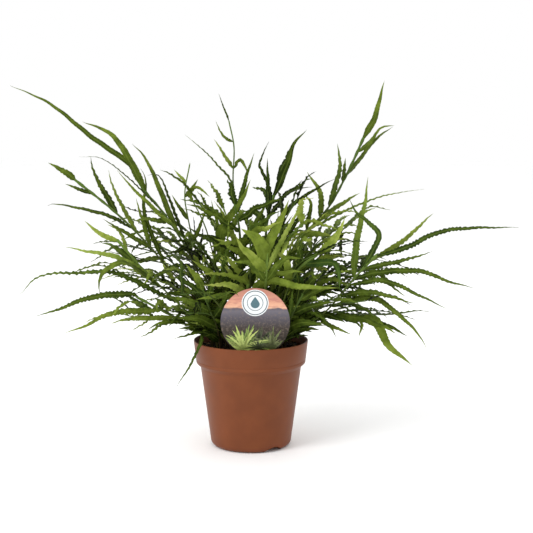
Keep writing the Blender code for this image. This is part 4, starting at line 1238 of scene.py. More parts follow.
@dataclass
class RuledFronds:
    """The fronds that fill the plant all round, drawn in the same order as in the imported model."""

    growth: Growth
    seed: int = 12
    count: int = 18
    start: float = math.radians(60)
    leaf_count: int = 9
    near_reach: float = 28
    added_reach: float = 112
    reach_jitter: tuple = (0.88, 1.12)
    front_cut: float = 0.42
    back_gain: float = 0.25
    top_rise: float = 182
    lost_rise: float = 128
    rise_jitter: tuple = (0.88, 1.1)
    front_rise: float = 46
    foot_near: float = 0.16
    foot_range: float = 0.56
    front_tuck: float = 0.38
    knots: tuple = (0.3, 0.65, 1.0)
    arch: float = 1.5
    first_leaf: float = 0.22
    last_leaf: float = 0.94
    tip_leaf: float = 0.99
    side_spread: tuple = (34, 58)
    tip_spread: tuple = (-8, 8)
    leaf_length: tuple = (46, 84)
    leaf_hang: tuple = (0.0, 0.3)
    leaf_width: tuple = (5.5, 9)
    face_tilt: float = 0.9
    tone_low: float = 0.2
    tone_range: float = 0.46
    tone_stride: int = 5
    tone_count: int = 9
    golden: float = math.radians(137.508)
    flanks: tuple = (
        (172, 0.62, 104, 122),
        (190, 0.80, 92, 74),
        (158, 0.90, 108, 50),
        (204, 0.66, 72, 112),
        (8, 0.62, 104, 122),
        (-12, 0.80, 90, 78),
        (22, 0.90, 110, 50),
        (-26, 0.66, 72, 114),
        (178, 1.00, 132, 96),
        (-5, 1.00, 126, 84),
        (197, 0.72, 126, 46),
        (-19, 0.72, 124, 48),
        (165, 0.70, 134, 66),
        (14, 0.70, 134, 64),
        (150, 0.56, 98, 100),
        (31, 0.56, 98, 100),
        (186, 0.90, 116, 24),
        (-6, 0.90, 116, 26),
        (221, 0.86, 84, 48),
        (-35, 0.78, 86, 58),
    )

    def fronds(self) -> list[Frond]:
        """All the fronds placed by rule.

        Returns:
            The fronds of the filling first, then the ones of the flanks.
        """
        rng = random.Random(self.seed)
        fronds = []
        for number in range(self.count):
            azimuth = self.start + number * self.golden
            share = math.sqrt((number + 0.5) / self.count)
            to_front = max(0.0, -math.sin(azimuth))
            to_back = max(0.0, math.sin(azimuth))
            spread = 1 - self.front_cut * to_front + self.back_gain * to_back
            reach = (self.near_reach + self.added_reach * share) * rng.uniform(*self.reach_jitter) * spread
            rise = (self.top_rise - self.lost_rise * share) * rng.uniform(*self.rise_jitter)
            rise += self.front_rise * share * to_front
            fronds.append(self.leaning(f"frond_fill_{number + 1:02d}", azimuth, share, reach, rise, rng))
        for number, (degrees, share, reach, rise) in enumerate(self.flanks):
            azimuth = math.radians(degrees)
            fronds.append(self.leaning(f"frond_flank_{number + 1}", azimuth, share, reach, rise, rng))
        for number, frond in enumerate(fronds):
            place = number * self.tone_stride % self.tone_count
            frond.tone = self.tone_low + self.tone_range * place / (self.tone_count - 1)
        return fronds

    def leaning(
        self, name: str, azimuth: float, share: float, reach: float, rise: float, rng: random.Random
    ) -> Frond:
        """A frond that leans out by its reach and up by its rise, in mm.

        Args:
            name: Its node's name.
            azimuth: The way that it leans, round the pot's axis.
            share: How far out it stands, as a share of the bed's radius.
            reach: How far out its tip is.
            rise: How far up its tip is.
            rng: The draw.

        Returns:
            The frond, with its leaflets.
        """
        outward = Vector((math.cos(azimuth), math.sin(azimuth), 0))
        tuck = 1 - self.front_tuck * max(0.0, -outward.y)
        foot = outward * (self.foot_near + self.foot_range * share) * tuck
        middle = outward * foot.length * self.growth.bed.radius / MM
        stalk = []
        for t in self.knots:
            flat = middle + outward * (reach - middle.length) * t ** self.arch
            height = rise * math.sin(t * math.pi / 2 * (0.8 + 0.2 * share))
            stalk.append((flat.x, flat.y, height))
        face = UP - outward * self.face_tilt
        frond = Frond(name, (foot.x, foot.y), stalk, [], face=tuple(face), wing=0.5)
        path, runs = self.growth.stalk_path(frond, (0, 0), 0)
        for i in range(self.leaf_count):
            at = self.first_leaf + (self.last_leaf - self.first_leaf) * i / self.leaf_count
            frond.leaves.append(self.leaflet(at, i, self.side_spread, path, runs, face, rng))
        end = self.leaflet(self.tip_leaf, 0, self.tip_spread, path, runs, face, rng)
        end.at = 1.0
        frond.leaves.append(end)
        return frond

    def leaflet(
        self, at: float, turn: int, spreads: tuple, path: list, runs: list, face: Vector, rng: random.Random,
    ) -> Leaf:
        """A leaflet by rule: it leaves the stalk at an angle and its tip hangs a little.

        Args:
            at: Where it leaves the stalk, as a share of the stalk's length.
            turn: Its number from the foot up; odd ones leave on the one side and even ones on the other.
            spreads: The least and the greatest angle to the stalk, in degrees.
            path: The stalk's path.
            runs: The length run at each point of the path.
            face: The way that the frond's face looks.
            rng: The draw.

        Returns:
            The leaflet.
        """
        middle, tangent = along(path, runs, at * runs[-1])
        side = tangent.cross(face.normalized()).normalized() * (1 if turn % 2 else -1)
        spread = math.radians(rng.uniform(*spreads))
        length = rng.uniform(*self.leaf_length) * MM * (1.15 - 0.35 * at)
        ahead = tangent * math.cos(spread) + side * math.sin(spread)
        hang = rng.uniform(*self.leaf_hang)
        points = [
            middle + ahead * length * 0.5 + UP * length * 0.05,
            middle + ahead * length - UP * length * hang,
        ]
        guide = [tuple((point - UP * self.growth.rim) / MM) for point in points]
        return Leaf(at, guide, rng.uniform(*self.leaf_width), habit=CRIMPED, sway=0.9, full=1.04)


# ---------------------------- the fern

@dataclass
class FrondMaker:
    """Builds a frond's fine surface: round stalk, waved and folded blades, threads at the tips.

    The basal fields are for the young leaflets low on a stalk, painted a little darker as painted shade under
    the fronds. They keep clear of the label and the rim.
    """

    growth: Growth
    blade: bpy.types.Material
    stalk: bpy.types.Material
    rng: random.Random
    basal_count: int = 6
    step: float = 1.8 * MM
    around: int = 8
    blade_thickness: float = 0.45 * MM
    wave_length: float = 6.5 * MM
    root_depth: float = 4 * MM
    tip_overlap: float = 3.5 * MM
    stalk_radius: float = 1.0 * MM
    stalk_taper: float = 0.45
    stalk_ring: float = 3 * MM
    knob_spacing: float = 6 * MM
    wing: float = 1.3 * MM
    wing_start: float = 0.45
    flutter_length: float = 2.2 * MM
    tone_jitter: float = 0.06
    leaf_tone: tuple = (-0.22, 0.24)
    leaf_cool: tuple = (-0.5, 0.35)
    fold: tuple = (0.10, 0.32)
    twist: float = 0.6
    bend_length: tuple = (19, 30)
    uneven: float = 1.6
    uneven_length: float = 8 * MM
    wave_rise: float = 0.9 * MM
    wave_shift: float = 0.9
    broad_leaf: float = 8
    broad_calm: float = 0.6
    scallop: float = 0.22
    calm_tip: float = 3.2
    thin_tip: float = 1.5 * MM
    rib_swelling: float = 0.8
    sunk_share: float = 0.08
    sunk_depth: float = 1.0 * MM
    basal_start: float = 0.04
    basal_gap: float = 0.035
    basal_turn: float = 1.2
    basal_lift: tuple = (0.3, 1.0)
    basal_length: tuple = (24, 42)
    basal_width: tuple = (4, 6.5)
    basal_painted_shade: float = 0.12
    label_front: float = -30 * MM
    label_middle: float = 5 * MM
    label_reach: float = 42 * MM
    rim_gap: float = 3 * MM

    def build(self, grown: GrownFrond) -> bpy.types.Object:
        """One frond as one piece.

        Args:
            grown: The frond as it stands in the model.

        Returns:
            The finished piece.
        """
        bm = bmesh.new()
        layers = {name: bm.verts.layers.float.new(name) for name in LAYERS}
        frond = grown.frond
        tone = frond.tone + self.rng.uniform(-self.tone_jitter, self.tone_jitter)
        self.add_stalk(bm, layers, grown, tone)
        for line in grown.leaves:
            self.add_blade(bm, layers, line, tone)
        # The low leaflets get a darker tone: painted shade under the fronds.
        for line in self.basal_leaves(grown):
            self.add_blade(bm, layers, line, tone - self.basal_painted_shade)
        bmesh.ops.remove_doubles(bm, verts=bm.verts, dist=MERGE)
        bmesh.ops.recalc_face_normals(bm, faces=bm.faces)
        name = frond.name.replace("frond_", "fern_frond_")
        piece = finish_piece(bm, name, [self.blade, self.stalk], sharp=75)
        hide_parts(frond.name)
        return piece

    def basal_leaves(self, grown: GrownFrond) -> list[LeafPath]:
        """Small young leaflets low on the stalk, where it stands clear of the label.

        Args:
            grown: The frond as it stands in the model.

        Returns:
            The leaflets' lines.
        """
        lines = []
        rim = self.growth.rim
        for i in range(self.basal_count):
            run = self.growth.foot + (self.basal_start + self.basal_gap * i) * grown.runs[-1]
            middle, tangent = along(grown.path, grown.runs, run)
            turn = self.rng.uniform(-self.basal_turn, self.basal_turn) + math.atan2(middle.y, middle.x)
            lift = self.rng.uniform(*self.basal_lift)
            outward = Vector((math.cos(turn), math.sin(turn), lift)).normalized()
            length = self.rng.uniform(*self.basal_length) * MM
            points = [middle + outward * length * 0.5, middle + outward * length - UP * length * 0.2]
            if any(self.over_label(point) or self.over_rim(point) for point in points):
                continue
            width = self.rng.uniform(*self.basal_width)
            leaf = Leaf(0.0, [tuple((point - UP * rim) / MM) for point in points], width)
            lines.append(LeafPath(self.growth, leaf, middle, tangent, UP, 1.0, 0.0))
        return lines

    def over_label(self, point: Vector) -> bool:
        """Whether a point is in front of the label or close beside it."""
        return point.y < self.label_front and abs(point.x - self.label_middle) < self.label_reach

    def over_rim(self, point: Vector) -> bool:
        """Whether a point is out over the pot's rim and too low to clear it."""
        low = point.z < self.growth.rim + self.rim_gap
        return low and math.hypot(point.x, point.y) > self.growth.bed.radius

    def sleeve(self, bm: bmesh.types.BMesh, rings: int) -> list[tuple]:
        """A flat grid to be wrapped into a closed sleeve: (vertex, angle round it, share along it).

        Args:
            bm: The bmesh that takes the grid.
            rings: How many rings the sleeve has.

        Returns:
            Each vertex with its angle in radians and its share of the length.
        """
        made = bmesh.ops.create_grid(bm, x_segments=self.around, y_segments=rings, size=1.0)
        return [(v, v.co.x * math.pi, (v.co.y + 1) / 2) for v in made["verts"]]

    def add_stalk(self, bm: bmesh.types.BMesh, layers: dict, grown: GrownFrond, tone: float) -> None:
        """The round stalk, from a little inside the peat to its last leaflet.

        Args:
            bm: The bmesh that takes the stalk.
            layers: The vertex layers that the finishes read.
            grown: The frond as it stands in the model.
            tone: The frond's tone.
        """
        front = grown.frond.front
        length = grown.runs[-1]
        rings = max(12, int(length / self.stalk_ring))
        for vertex, angle, share in self.sleeve(bm, rings):
            run = share * (length + self.root_depth + self.tip_overlap) - self.root_depth
            middle, tangent = along(grown.path, grown.runs, run)
            if run < 0:
                middle, tangent = grown.path[0] + UP * run, UP
            side = tangent.cross(front).normalized()
            normal = side.cross(tangent)
            knobs = 1 + 0.1 * noise.noise(middle / self.knob_spacing)
            radius = self.stalk_radius * (1.0 - self.stalk_taper * share) * knobs
            opened = max(0.0, share - self.wing_start) / (1 - self.wing_start)
            flutter = 0.75 + 0.25 * math.sin(run / self.flutter_length)
            wing = self.wing * grown.frond.wing * opened * flutter
            if share in (0.0, 1.0):
                radius, wing = 0.0, 0.0
            vertex.co = middle + side * math.cos(angle) * (radius + wing) + normal * math.sin(angle) * radius
            vertex[layers["tone"]] = max(0.0, (tone - 0.45) * 1.6)
            vertex[layers["share"]] = share
        use_second_finish(bm.verts)

    def add_blade(self, bm: bmesh.types.BMesh, layers: dict, line: LeafPath, tone: float) -> None:
        """One leaflet: a closed, thin, folded blade with a waved margin.

        Args:
            bm: The bmesh that takes the leaflet.
            layers: The vertex layers that the finishes read.
            line: The leaflet's line.
            tone: The frond's tone.
        """
        leaf = line.leaf
        rings = max(14, int(line.length / self.step))
        own = leaf.tone if leaf.tone is not None else tone + self.rng.uniform(*self.leaf_tone)
        cool = max(leaf.cool, self.rng.uniform(*self.leaf_cool))
        fold = self.rng.uniform(*self.fold)
        phase = self.rng.uniform(0, 2 * math.pi)
        swing = self.rng.uniform(-self.twist, self.twist)
        crimp = leaf.habit.value * (self.broad_calm if leaf.width > self.broad_leaf else 1.0)
        bend_length = self.rng.uniform(*self.bend_length) * MM
        frames = {}
        for vertex, angle, share in self.sleeve(bm, rings):
            key = round(share * rings)
            if key not in frames:
                frames[key] = self.blade_frame(line, share, swing)
            middle, side, normal, half = frames[key]
            across = math.cos(angle)
            run = share * line.length
            uneven = self.uneven * noise.noise(Vector((run / self.uneven_length, phase, 0)))
            ripple = 2 * math.pi * run / self.wave_length + phase + uneven
            wave = math.sin(ripple + (self.wave_shift if across > 0 else 0.0))
            near_tip = min(1.0, half / self.thin_tip)
            calm = min(1.0, self.calm_tip * (1 - share))
            scallop = 1 + self.scallop * crimp * calm * math.cos(2 * ripple - phase) * abs(across)
            sway = leaf.sway * MM * math.sin(2 * math.pi * run / bend_length + phase) * min(1.0, 4 * share)
            lift = fold * abs(across) * half + crimp * self.wave_rise * wave * across * across * near_tip
            swelling = 1.0 + self.rib_swelling * (1 - abs(across))
            thick = self.blade_thickness / 2 * math.sin(angle) * swelling
            if share in (0.0, 1.0):
                half, lift, thick = 0.0, 0.0, 0.0
            vertex.co = middle + side * (across * half * scallop + sway) + normal * (lift + thick * near_tip)
            vertex[layers["tone"]] = min(1.0, max(0.0, own))
            vertex[layers["share"]] = share
            vertex[layers["across"]] = across
            vertex[layers["run"]] = run
            vertex[layers["cool"]] = max(0.0, cool)

    def blade_frame(self, line: LeafPath, share: float, swing: float) -> tuple[Vector, Vector, Vector, float]:
        """The middle, side, normal and half-breadth of a blade at a share of its length.

        Args:
            line: The leaflet's line.
            share: The share of its length, 0 at its foot.
            swing: How far in radians the blade is twisted at its tip.

        Returns:
            The middle, the unit vector across the blade, its unit normal and half its breadth.
        """
        middle, side, normal = line.station(share)
        start, _, _ = line.station(0.0)
        if share < self.sunk_share:
            back = (start - line.station(self.sunk_share)[0]).normalized()
            middle = middle + back * self.sunk_depth * (1 - share / self.sunk_share)
        tangent = normal.cross(side)
        twist = Matrix.Rotation(swing * share, 3, tangent)
        breadth = self.breadth(line.leaf.width * line.leaf.full, share)
        return middle, twist @ side, twist @ normal, breadth / 2

    @staticmethod
    def breadth(width: float, share: float) -> float:
        """A blade's breadth: a short narrow foot, a long full middle and a tip drawn out to a thread.

        Args:
            width: The blade's width in mm.
            share: The share of its length, 0 at its foot.

        Returns:
            The breadth in metres.
        """
        foot = min(1.0, 0.34 + 4.2 * share)
        taper = max(0.0, 1 - share ** 2.1) ** 1.05
        thread = 0.35 * MM
        return max(width * MM * foot * taper, thread)


# ---------------------------- pot

@dataclass
class NurseryPot:
    """The moulded pot, with a rolled lip, a stepped band and three drain notches in its foot."""

    height: float = 112 * MM
    rim: float = 60 * MM
    band: float = 24 * MM
    band_taper: float = 2.7 * MM
    step_height: float = 4 * MM
    step_depth: float = 4.5 * MM
    foot: float = 42.5 * MM
    rounding: float = 6 * MM
    wall: float = 1.2 * MM
    notches: int = 3
    notch_radius: float = 15 * MM
    notch_height: float = 5 * MM
    notch_depth: float = 13 * MM
    notch_azimuth: float = math.radians(-54)
    hole_radius: float = 2.5 * MM
    sides: int = 120
    drum_sides: int = 72
    curve_steps: int = 8

    def foot_curve(self, margin: float) -> list[tuple[float, float]]:
        """The rounded corner of the foot, set in by a margin, from the side to the underside.

        Args:
            margin: How far inside the pot's surface the curve runs.

        Returns:
            The curve's (radius, height) points.
        """
        curve = []
        for i in range(self.curve_steps + 1):
            angle = i / self.curve_steps * math.pi / 2
            reach = self.rounding - margin
            curve.append((
                self.foot - self.rounding + reach * math.cos(angle),
                self.rounding - reach * math.sin(angle),
            ))
        return curve

    def outside(self) -> list[tuple[float, float]]:
        """The outer side from the middle of the mouth, over the lip and the band, to the foot's middle.

        Returns:
            The profile's (radius, height) points.
        """
        band_foot = self.rim - self.band_taper
        band_low = self.height - self.band
        bead = band_foot + self.band_taper * 4 * MM / self.band
        # The lip, the bead and the step are rounded by points a few tenths of a millimetre apart.
        return [
            (0.0, self.height),
            (self.rim - 0.55 * MM, self.height),
            (self.rim - 0.15 * MM, self.height - 0.2 * MM),
            (self.rim, self.height - 0.7 * MM),
            (bead + 0.1 * MM, band_low + 4.4 * MM),
            (bead - 0.3 * MM, band_low + 3.8 * MM),
            (bead - 0.05 * MM, band_low + 3.2 * MM),
            (band_foot + 0.05 * MM, band_low + 0.5 * MM),
            (band_foot - 0.6 * MM, band_low - 0.3 * MM),
            (band_foot - self.step_depth + 0.5 * MM, band_low - self.step_height + 0.5 * MM),
            (band_foot - self.step_depth, band_low - self.step_height - 0.6 * MM),
            *self.foot_curve(0.0),
            (0.0, 0.0),
        ]

    def inside(self) -> list[tuple[float, float]]:
        """The cavity's side, from above the mouth down to the middle of the floor.

        Returns:
            The profile's (radius, height) points.
        """
        band_foot = self.rim - self.band_taper
        band_low = self.height - self.band
        return [
            (0.0, self.height + 2 * self.wall),
            (self.rim - self.wall + 0.5 * MM, self.height + 2 * self.wall),
            (self.rim - self.wall, self.height - 0.6 * MM),
            (band_foot - self.wall, band_low),
            (band_foot - self.step_depth - self.wall, band_low - self.step_height),
            *self.foot_curve(self.wall),
            (0.0, self.wall),
        ]

    def solid(self, name: str, profile: list[tuple[float, float]]) -> bpy.types.Object:
        """A turned solid as a loose object, for the cuts.

        Args:
            name: The object's name.
            profile: Its (radius, height) points, from axis to axis.

        Returns:
            The object.
        """
        bm = bmesh.new()
        spin_profile(bm, profile, self.sides)
        return to_object(bm, name)

    def drum(self, name: str, radius: float, depth: float, place: Matrix) -> bpy.types.Object:
        """A drum as a loose object, for the cuts.

        Args:
            name: The object's name.
            radius: The drum's radius.
            depth: Its length.
            place: Where its middle is and how it is turned.

        Returns:
            The object.
        """
        bm = bmesh.new()
        bmesh.ops.create_cone(
            bm, cap_ends=True, segments=self.drum_sides,
            radius1=radius, radius2=radius, depth=depth, matrix=place,
        )
        return to_object(bm, name)

    def notch_way(self, number: int) -> Vector:
        """The way outwards through a notch."""
        azimuth = self.notch_azimuth + number * 2 * math.pi / self.notches
        return Vector((math.cos(azimuth), math.sin(azimuth), 0))

    def notch(self, number: int, margin: float) -> bpy.types.Object:
        """The drum along the radius that is a drain notch, or its housing where it has a margin.

        Args:
            number: The notch's number, round the foot.
            margin: How far the drum is grown past the notch.

        Returns:
            The drum.
        """
        outward = self.notch_way(number)
        inner, outer = self.foot - self.notch_depth - margin, self.foot + self.notch_depth
        centre = outward * (inner + outer) / 2 + UP * (self.notch_height - self.notch_radius)
        turn = outward.to_track_quat("Z", "Y").to_matrix().to_4x4()
        place = Matrix.Translation(centre) @ turn
        return self.drum(f"notch_{number}", self.notch_radius + margin, outer - inner, place)

    def hole(self, number: int) -> bpy.types.Object:
        """The upright drum of a drain hole through a notch's ceiling.

        Args:
            number: The notch's number, round the foot.

        Returns:
            The drum.
        """
        outward = self.notch_way(number)
        top = self.notch_height + self.wall + 0.3 * MM
        place = Matrix.Translation(outward * (self.foot - self.notch_depth / 2) + UP * top / 2)
        return self.drum(f"hole_{number}", self.hole_radius, top, place)

    @staticmethod
    def carve(item: bpy.types.Object, cutters: list[bpy.types.Object]) -> None:
        """Cuts solids out of an object and takes the cutters away.

        Args:
            item: The object that is cut.
            cutters: The solids that are taken out of it.
        """
        for cutter in cutters:
            cut = item.modifiers.new(cutter.name, "BOOLEAN")
            cut.operation = "DIFFERENCE"
            cut.object = cutter
        bpy.context.view_layer.update()
        shaped = bpy.data.meshes.new_from_object(item.evaluated_get(bpy.context.evaluated_depsgraph_get()))
        item.modifiers.clear()
        item.data = shaped
        for cutter in cutters:
            bpy.data.objects.remove(cutter)

    def build(self, finish: MouldedPlastic) -> bpy.types.Object:
        """The pot in its place: the turned body less its cavity, its drain notches and their holes.

        Args:
            finish: The pot's finish.

        Returns:
            The finished piece.
        """
        body = self.solid("body", self.outside())
        cavity = self.solid("cavity", self.inside())
        self.carve(cavity, [self.notch(i, self.wall) for i in range(self.notches)])
        self.carve(body, [cavity])
        self.carve(body, [self.notch(i, 0.0) for i in range(self.notches)])
        self.carve(body, [self.hole(i) for i in range(self.notches)])
        bm = bmesh.new()
        bm.from_mesh(body.data)
        bpy.data.objects.remove(body)
        pot = finish_piece(bm, "moulded_pot", [finish.material()], sharp=32)
        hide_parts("pot")
        return pot


# ---------------------------- peat

@dataclass
class PeatBed:
    """The plug of peat with its crumbly top, its crumbs, its sticks and one pale chip."""

    bed: Bed
    pot: NurseryPot
    rng: random.Random
    rings: int = 40
    sides: int = 144
    crumbs: int = 420
    sticks: int = 46
    floor_gap: float = 0.5 * MM
    side_gap: float = 0.6 * MM
    foot_gap: float = 2 * MM
    crumb_size: tuple = (0.5, 1.8)
    crumb_lumps: float = 0.35
    crumb_squash: float = 0.7
    crumb_rise: float = 0.3
    stick_length: tuple = (4, 15)
    stick_radius: tuple = (0.25, 0.7)
    stick_tilt: float = 0.2
    stick_rise: float = 1.1 * MM
    broad_lumps: tuple = (11 * MM, 1.3)
    fine_lumps: tuple = (3.2 * MM, 1.0)
    chip_right: float = 42.7 * MM
    chip_front: float = -30 * MM
    chip_distance: float = 52 * MM
    chip_rise: float = 2.0 * MM
    chip_tilt: float = -0.75
    chip_half: tuple = (3.4 * MM, 0.9 * MM, 0.35 * MM)

    def build(self, peat: Peat, fibre: WoodFibre) -> bpy.types.Object:
        """The peat in its place.

        Args:
            peat: The finish of the peat and its crumbs.
            fibre: The finish of the sticks and the chip.

        Returns:
            The finished piece.
        """
        bm = bmesh.new()
        low = self.pot.notch_height + self.pot.wall + self.floor_gap
        edge = self.bed.radius
        radii = [edge * i / self.rings for i in range(self.rings + 1)]
        heap = [(radius, self.bed.height(radius)) for radius in radii]
        gap = self.foot_gap
        side = [(self.pot.foot - gap, low + gap), (self.pot.foot - 2 * gap, low), (0.0, low)]
        step = self.pot.height - self.pot.band - self.pot.step_height
        waist = self.pot.rim - self.pot.band_taper - self.pot.step_depth - self.pot.wall - self.side_gap
        side = [(waist + 2 * gap, self.pot.height - self.pot.band), (waist, step)] + side
        spin_profile(bm, heap + side, self.sides)
        for vertex in bm.verts:
            self.roughen(vertex)
        for _ in range(self.crumbs):
            self.add_crumb(bm)
        for _ in range(self.sticks):
            self.add_stick(bm)
        self.add_chip(bm)
        bmesh.ops.recalc_face_normals(bm, faces=bm.faces)
        piece = finish_piece(bm, "peat_bed", [peat.material(), fibre.material()], sharp=60)
        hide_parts("peat")
        return piece

    def roughen(self, vertex: bmesh.types.BMVert) -> None:
        """Crumbles the top and leaves the sides as they are.

        Args:
            vertex: The vertex that may move.
        """
        radius = math.hypot(vertex.co.x, vertex.co.y)
        if vertex.co.z < self.bed.edge - 0.5 * MM or radius > self.bed.radius - 0.4 * MM:
            return
        lumps = [noise.noise(vertex.co / size) * rise for size, rise in (self.broad_lumps, self.fine_lumps)]
        vertex.co.z += sum(lumps) * MM

    def spot(self) -> Vector:
        """A place on the peat's top, evenly spread.

        Returns:
            The place.
        """
        radius = (self.bed.radius - 2 * MM) * math.sqrt(self.rng.random())
        angle = self.rng.uniform(0, 2 * math.pi)
        return Vector((radius * math.cos(angle), radius * math.sin(angle), self.bed.height(radius)))

    def add_crumb(self, bm: bmesh.types.BMesh) -> None:
        """One crumb, half sunk.

        Args:
            bm: The bmesh that takes the crumb.
        """
        size = self.rng.uniform(*self.crumb_size) * MM
        made = bmesh.ops.create_icosphere(bm, subdivisions=1, radius=size)
        place = self.spot()
        for vertex in made["verts"]:
            vertex.co *= 1 + self.crumb_lumps * noise.noise(vertex.co / size + place * 900)
            vertex.co.z *= self.crumb_squash
            vertex.co += place + UP * size * self.crumb_rise

    def add_chip(self, bm: bmesh.types.BMesh) -> None:
        """The one large pale chip, tilted up at the right of the label.

        Args:
            bm: The bmesh that takes the chip.
        """
        height = self.bed.height(self.chip_distance) + self.chip_rise
        place = Matrix.Translation((self.chip_right, self.chip_front, height))
        turn = Matrix.Rotation(self.chip_tilt, 4, "Y") @ Matrix.Diagonal((*self.chip_half, 1.0))
        made = bmesh.ops.create_cube(bm, size=2.0, matrix=place @ turn)
        use_second_finish(made["verts"])

    def add_stick(self, bm: bmesh.types.BMesh) -> None:
        """One fibre or chip lying on the peat.

        Args:
            bm: The bmesh that takes the stick.
        """
        length = self.rng.uniform(*self.stick_length) * MM
        thick = self.rng.uniform(*self.stick_radius) * MM
        heading = Matrix.Rotation(self.rng.uniform(0, math.pi), 4, "Z")
        tilt = Matrix.Rotation(self.rng.uniform(-self.stick_tilt, self.stick_tilt), 4, "Y")
        place = Matrix.Translation(self.spot() + UP * self.stick_rise)
        made = bmesh.ops.create_cone(
            bm, cap_ends=True, segments=6, radius1=thick, radius2=thick * 0.5, depth=length,
            matrix=place @ heading @ tilt @ Matrix.Rotation(math.pi / 2, 4, "Y"),
        )
        use_second_finish(made["verts"])


# ---------------------------- plant label

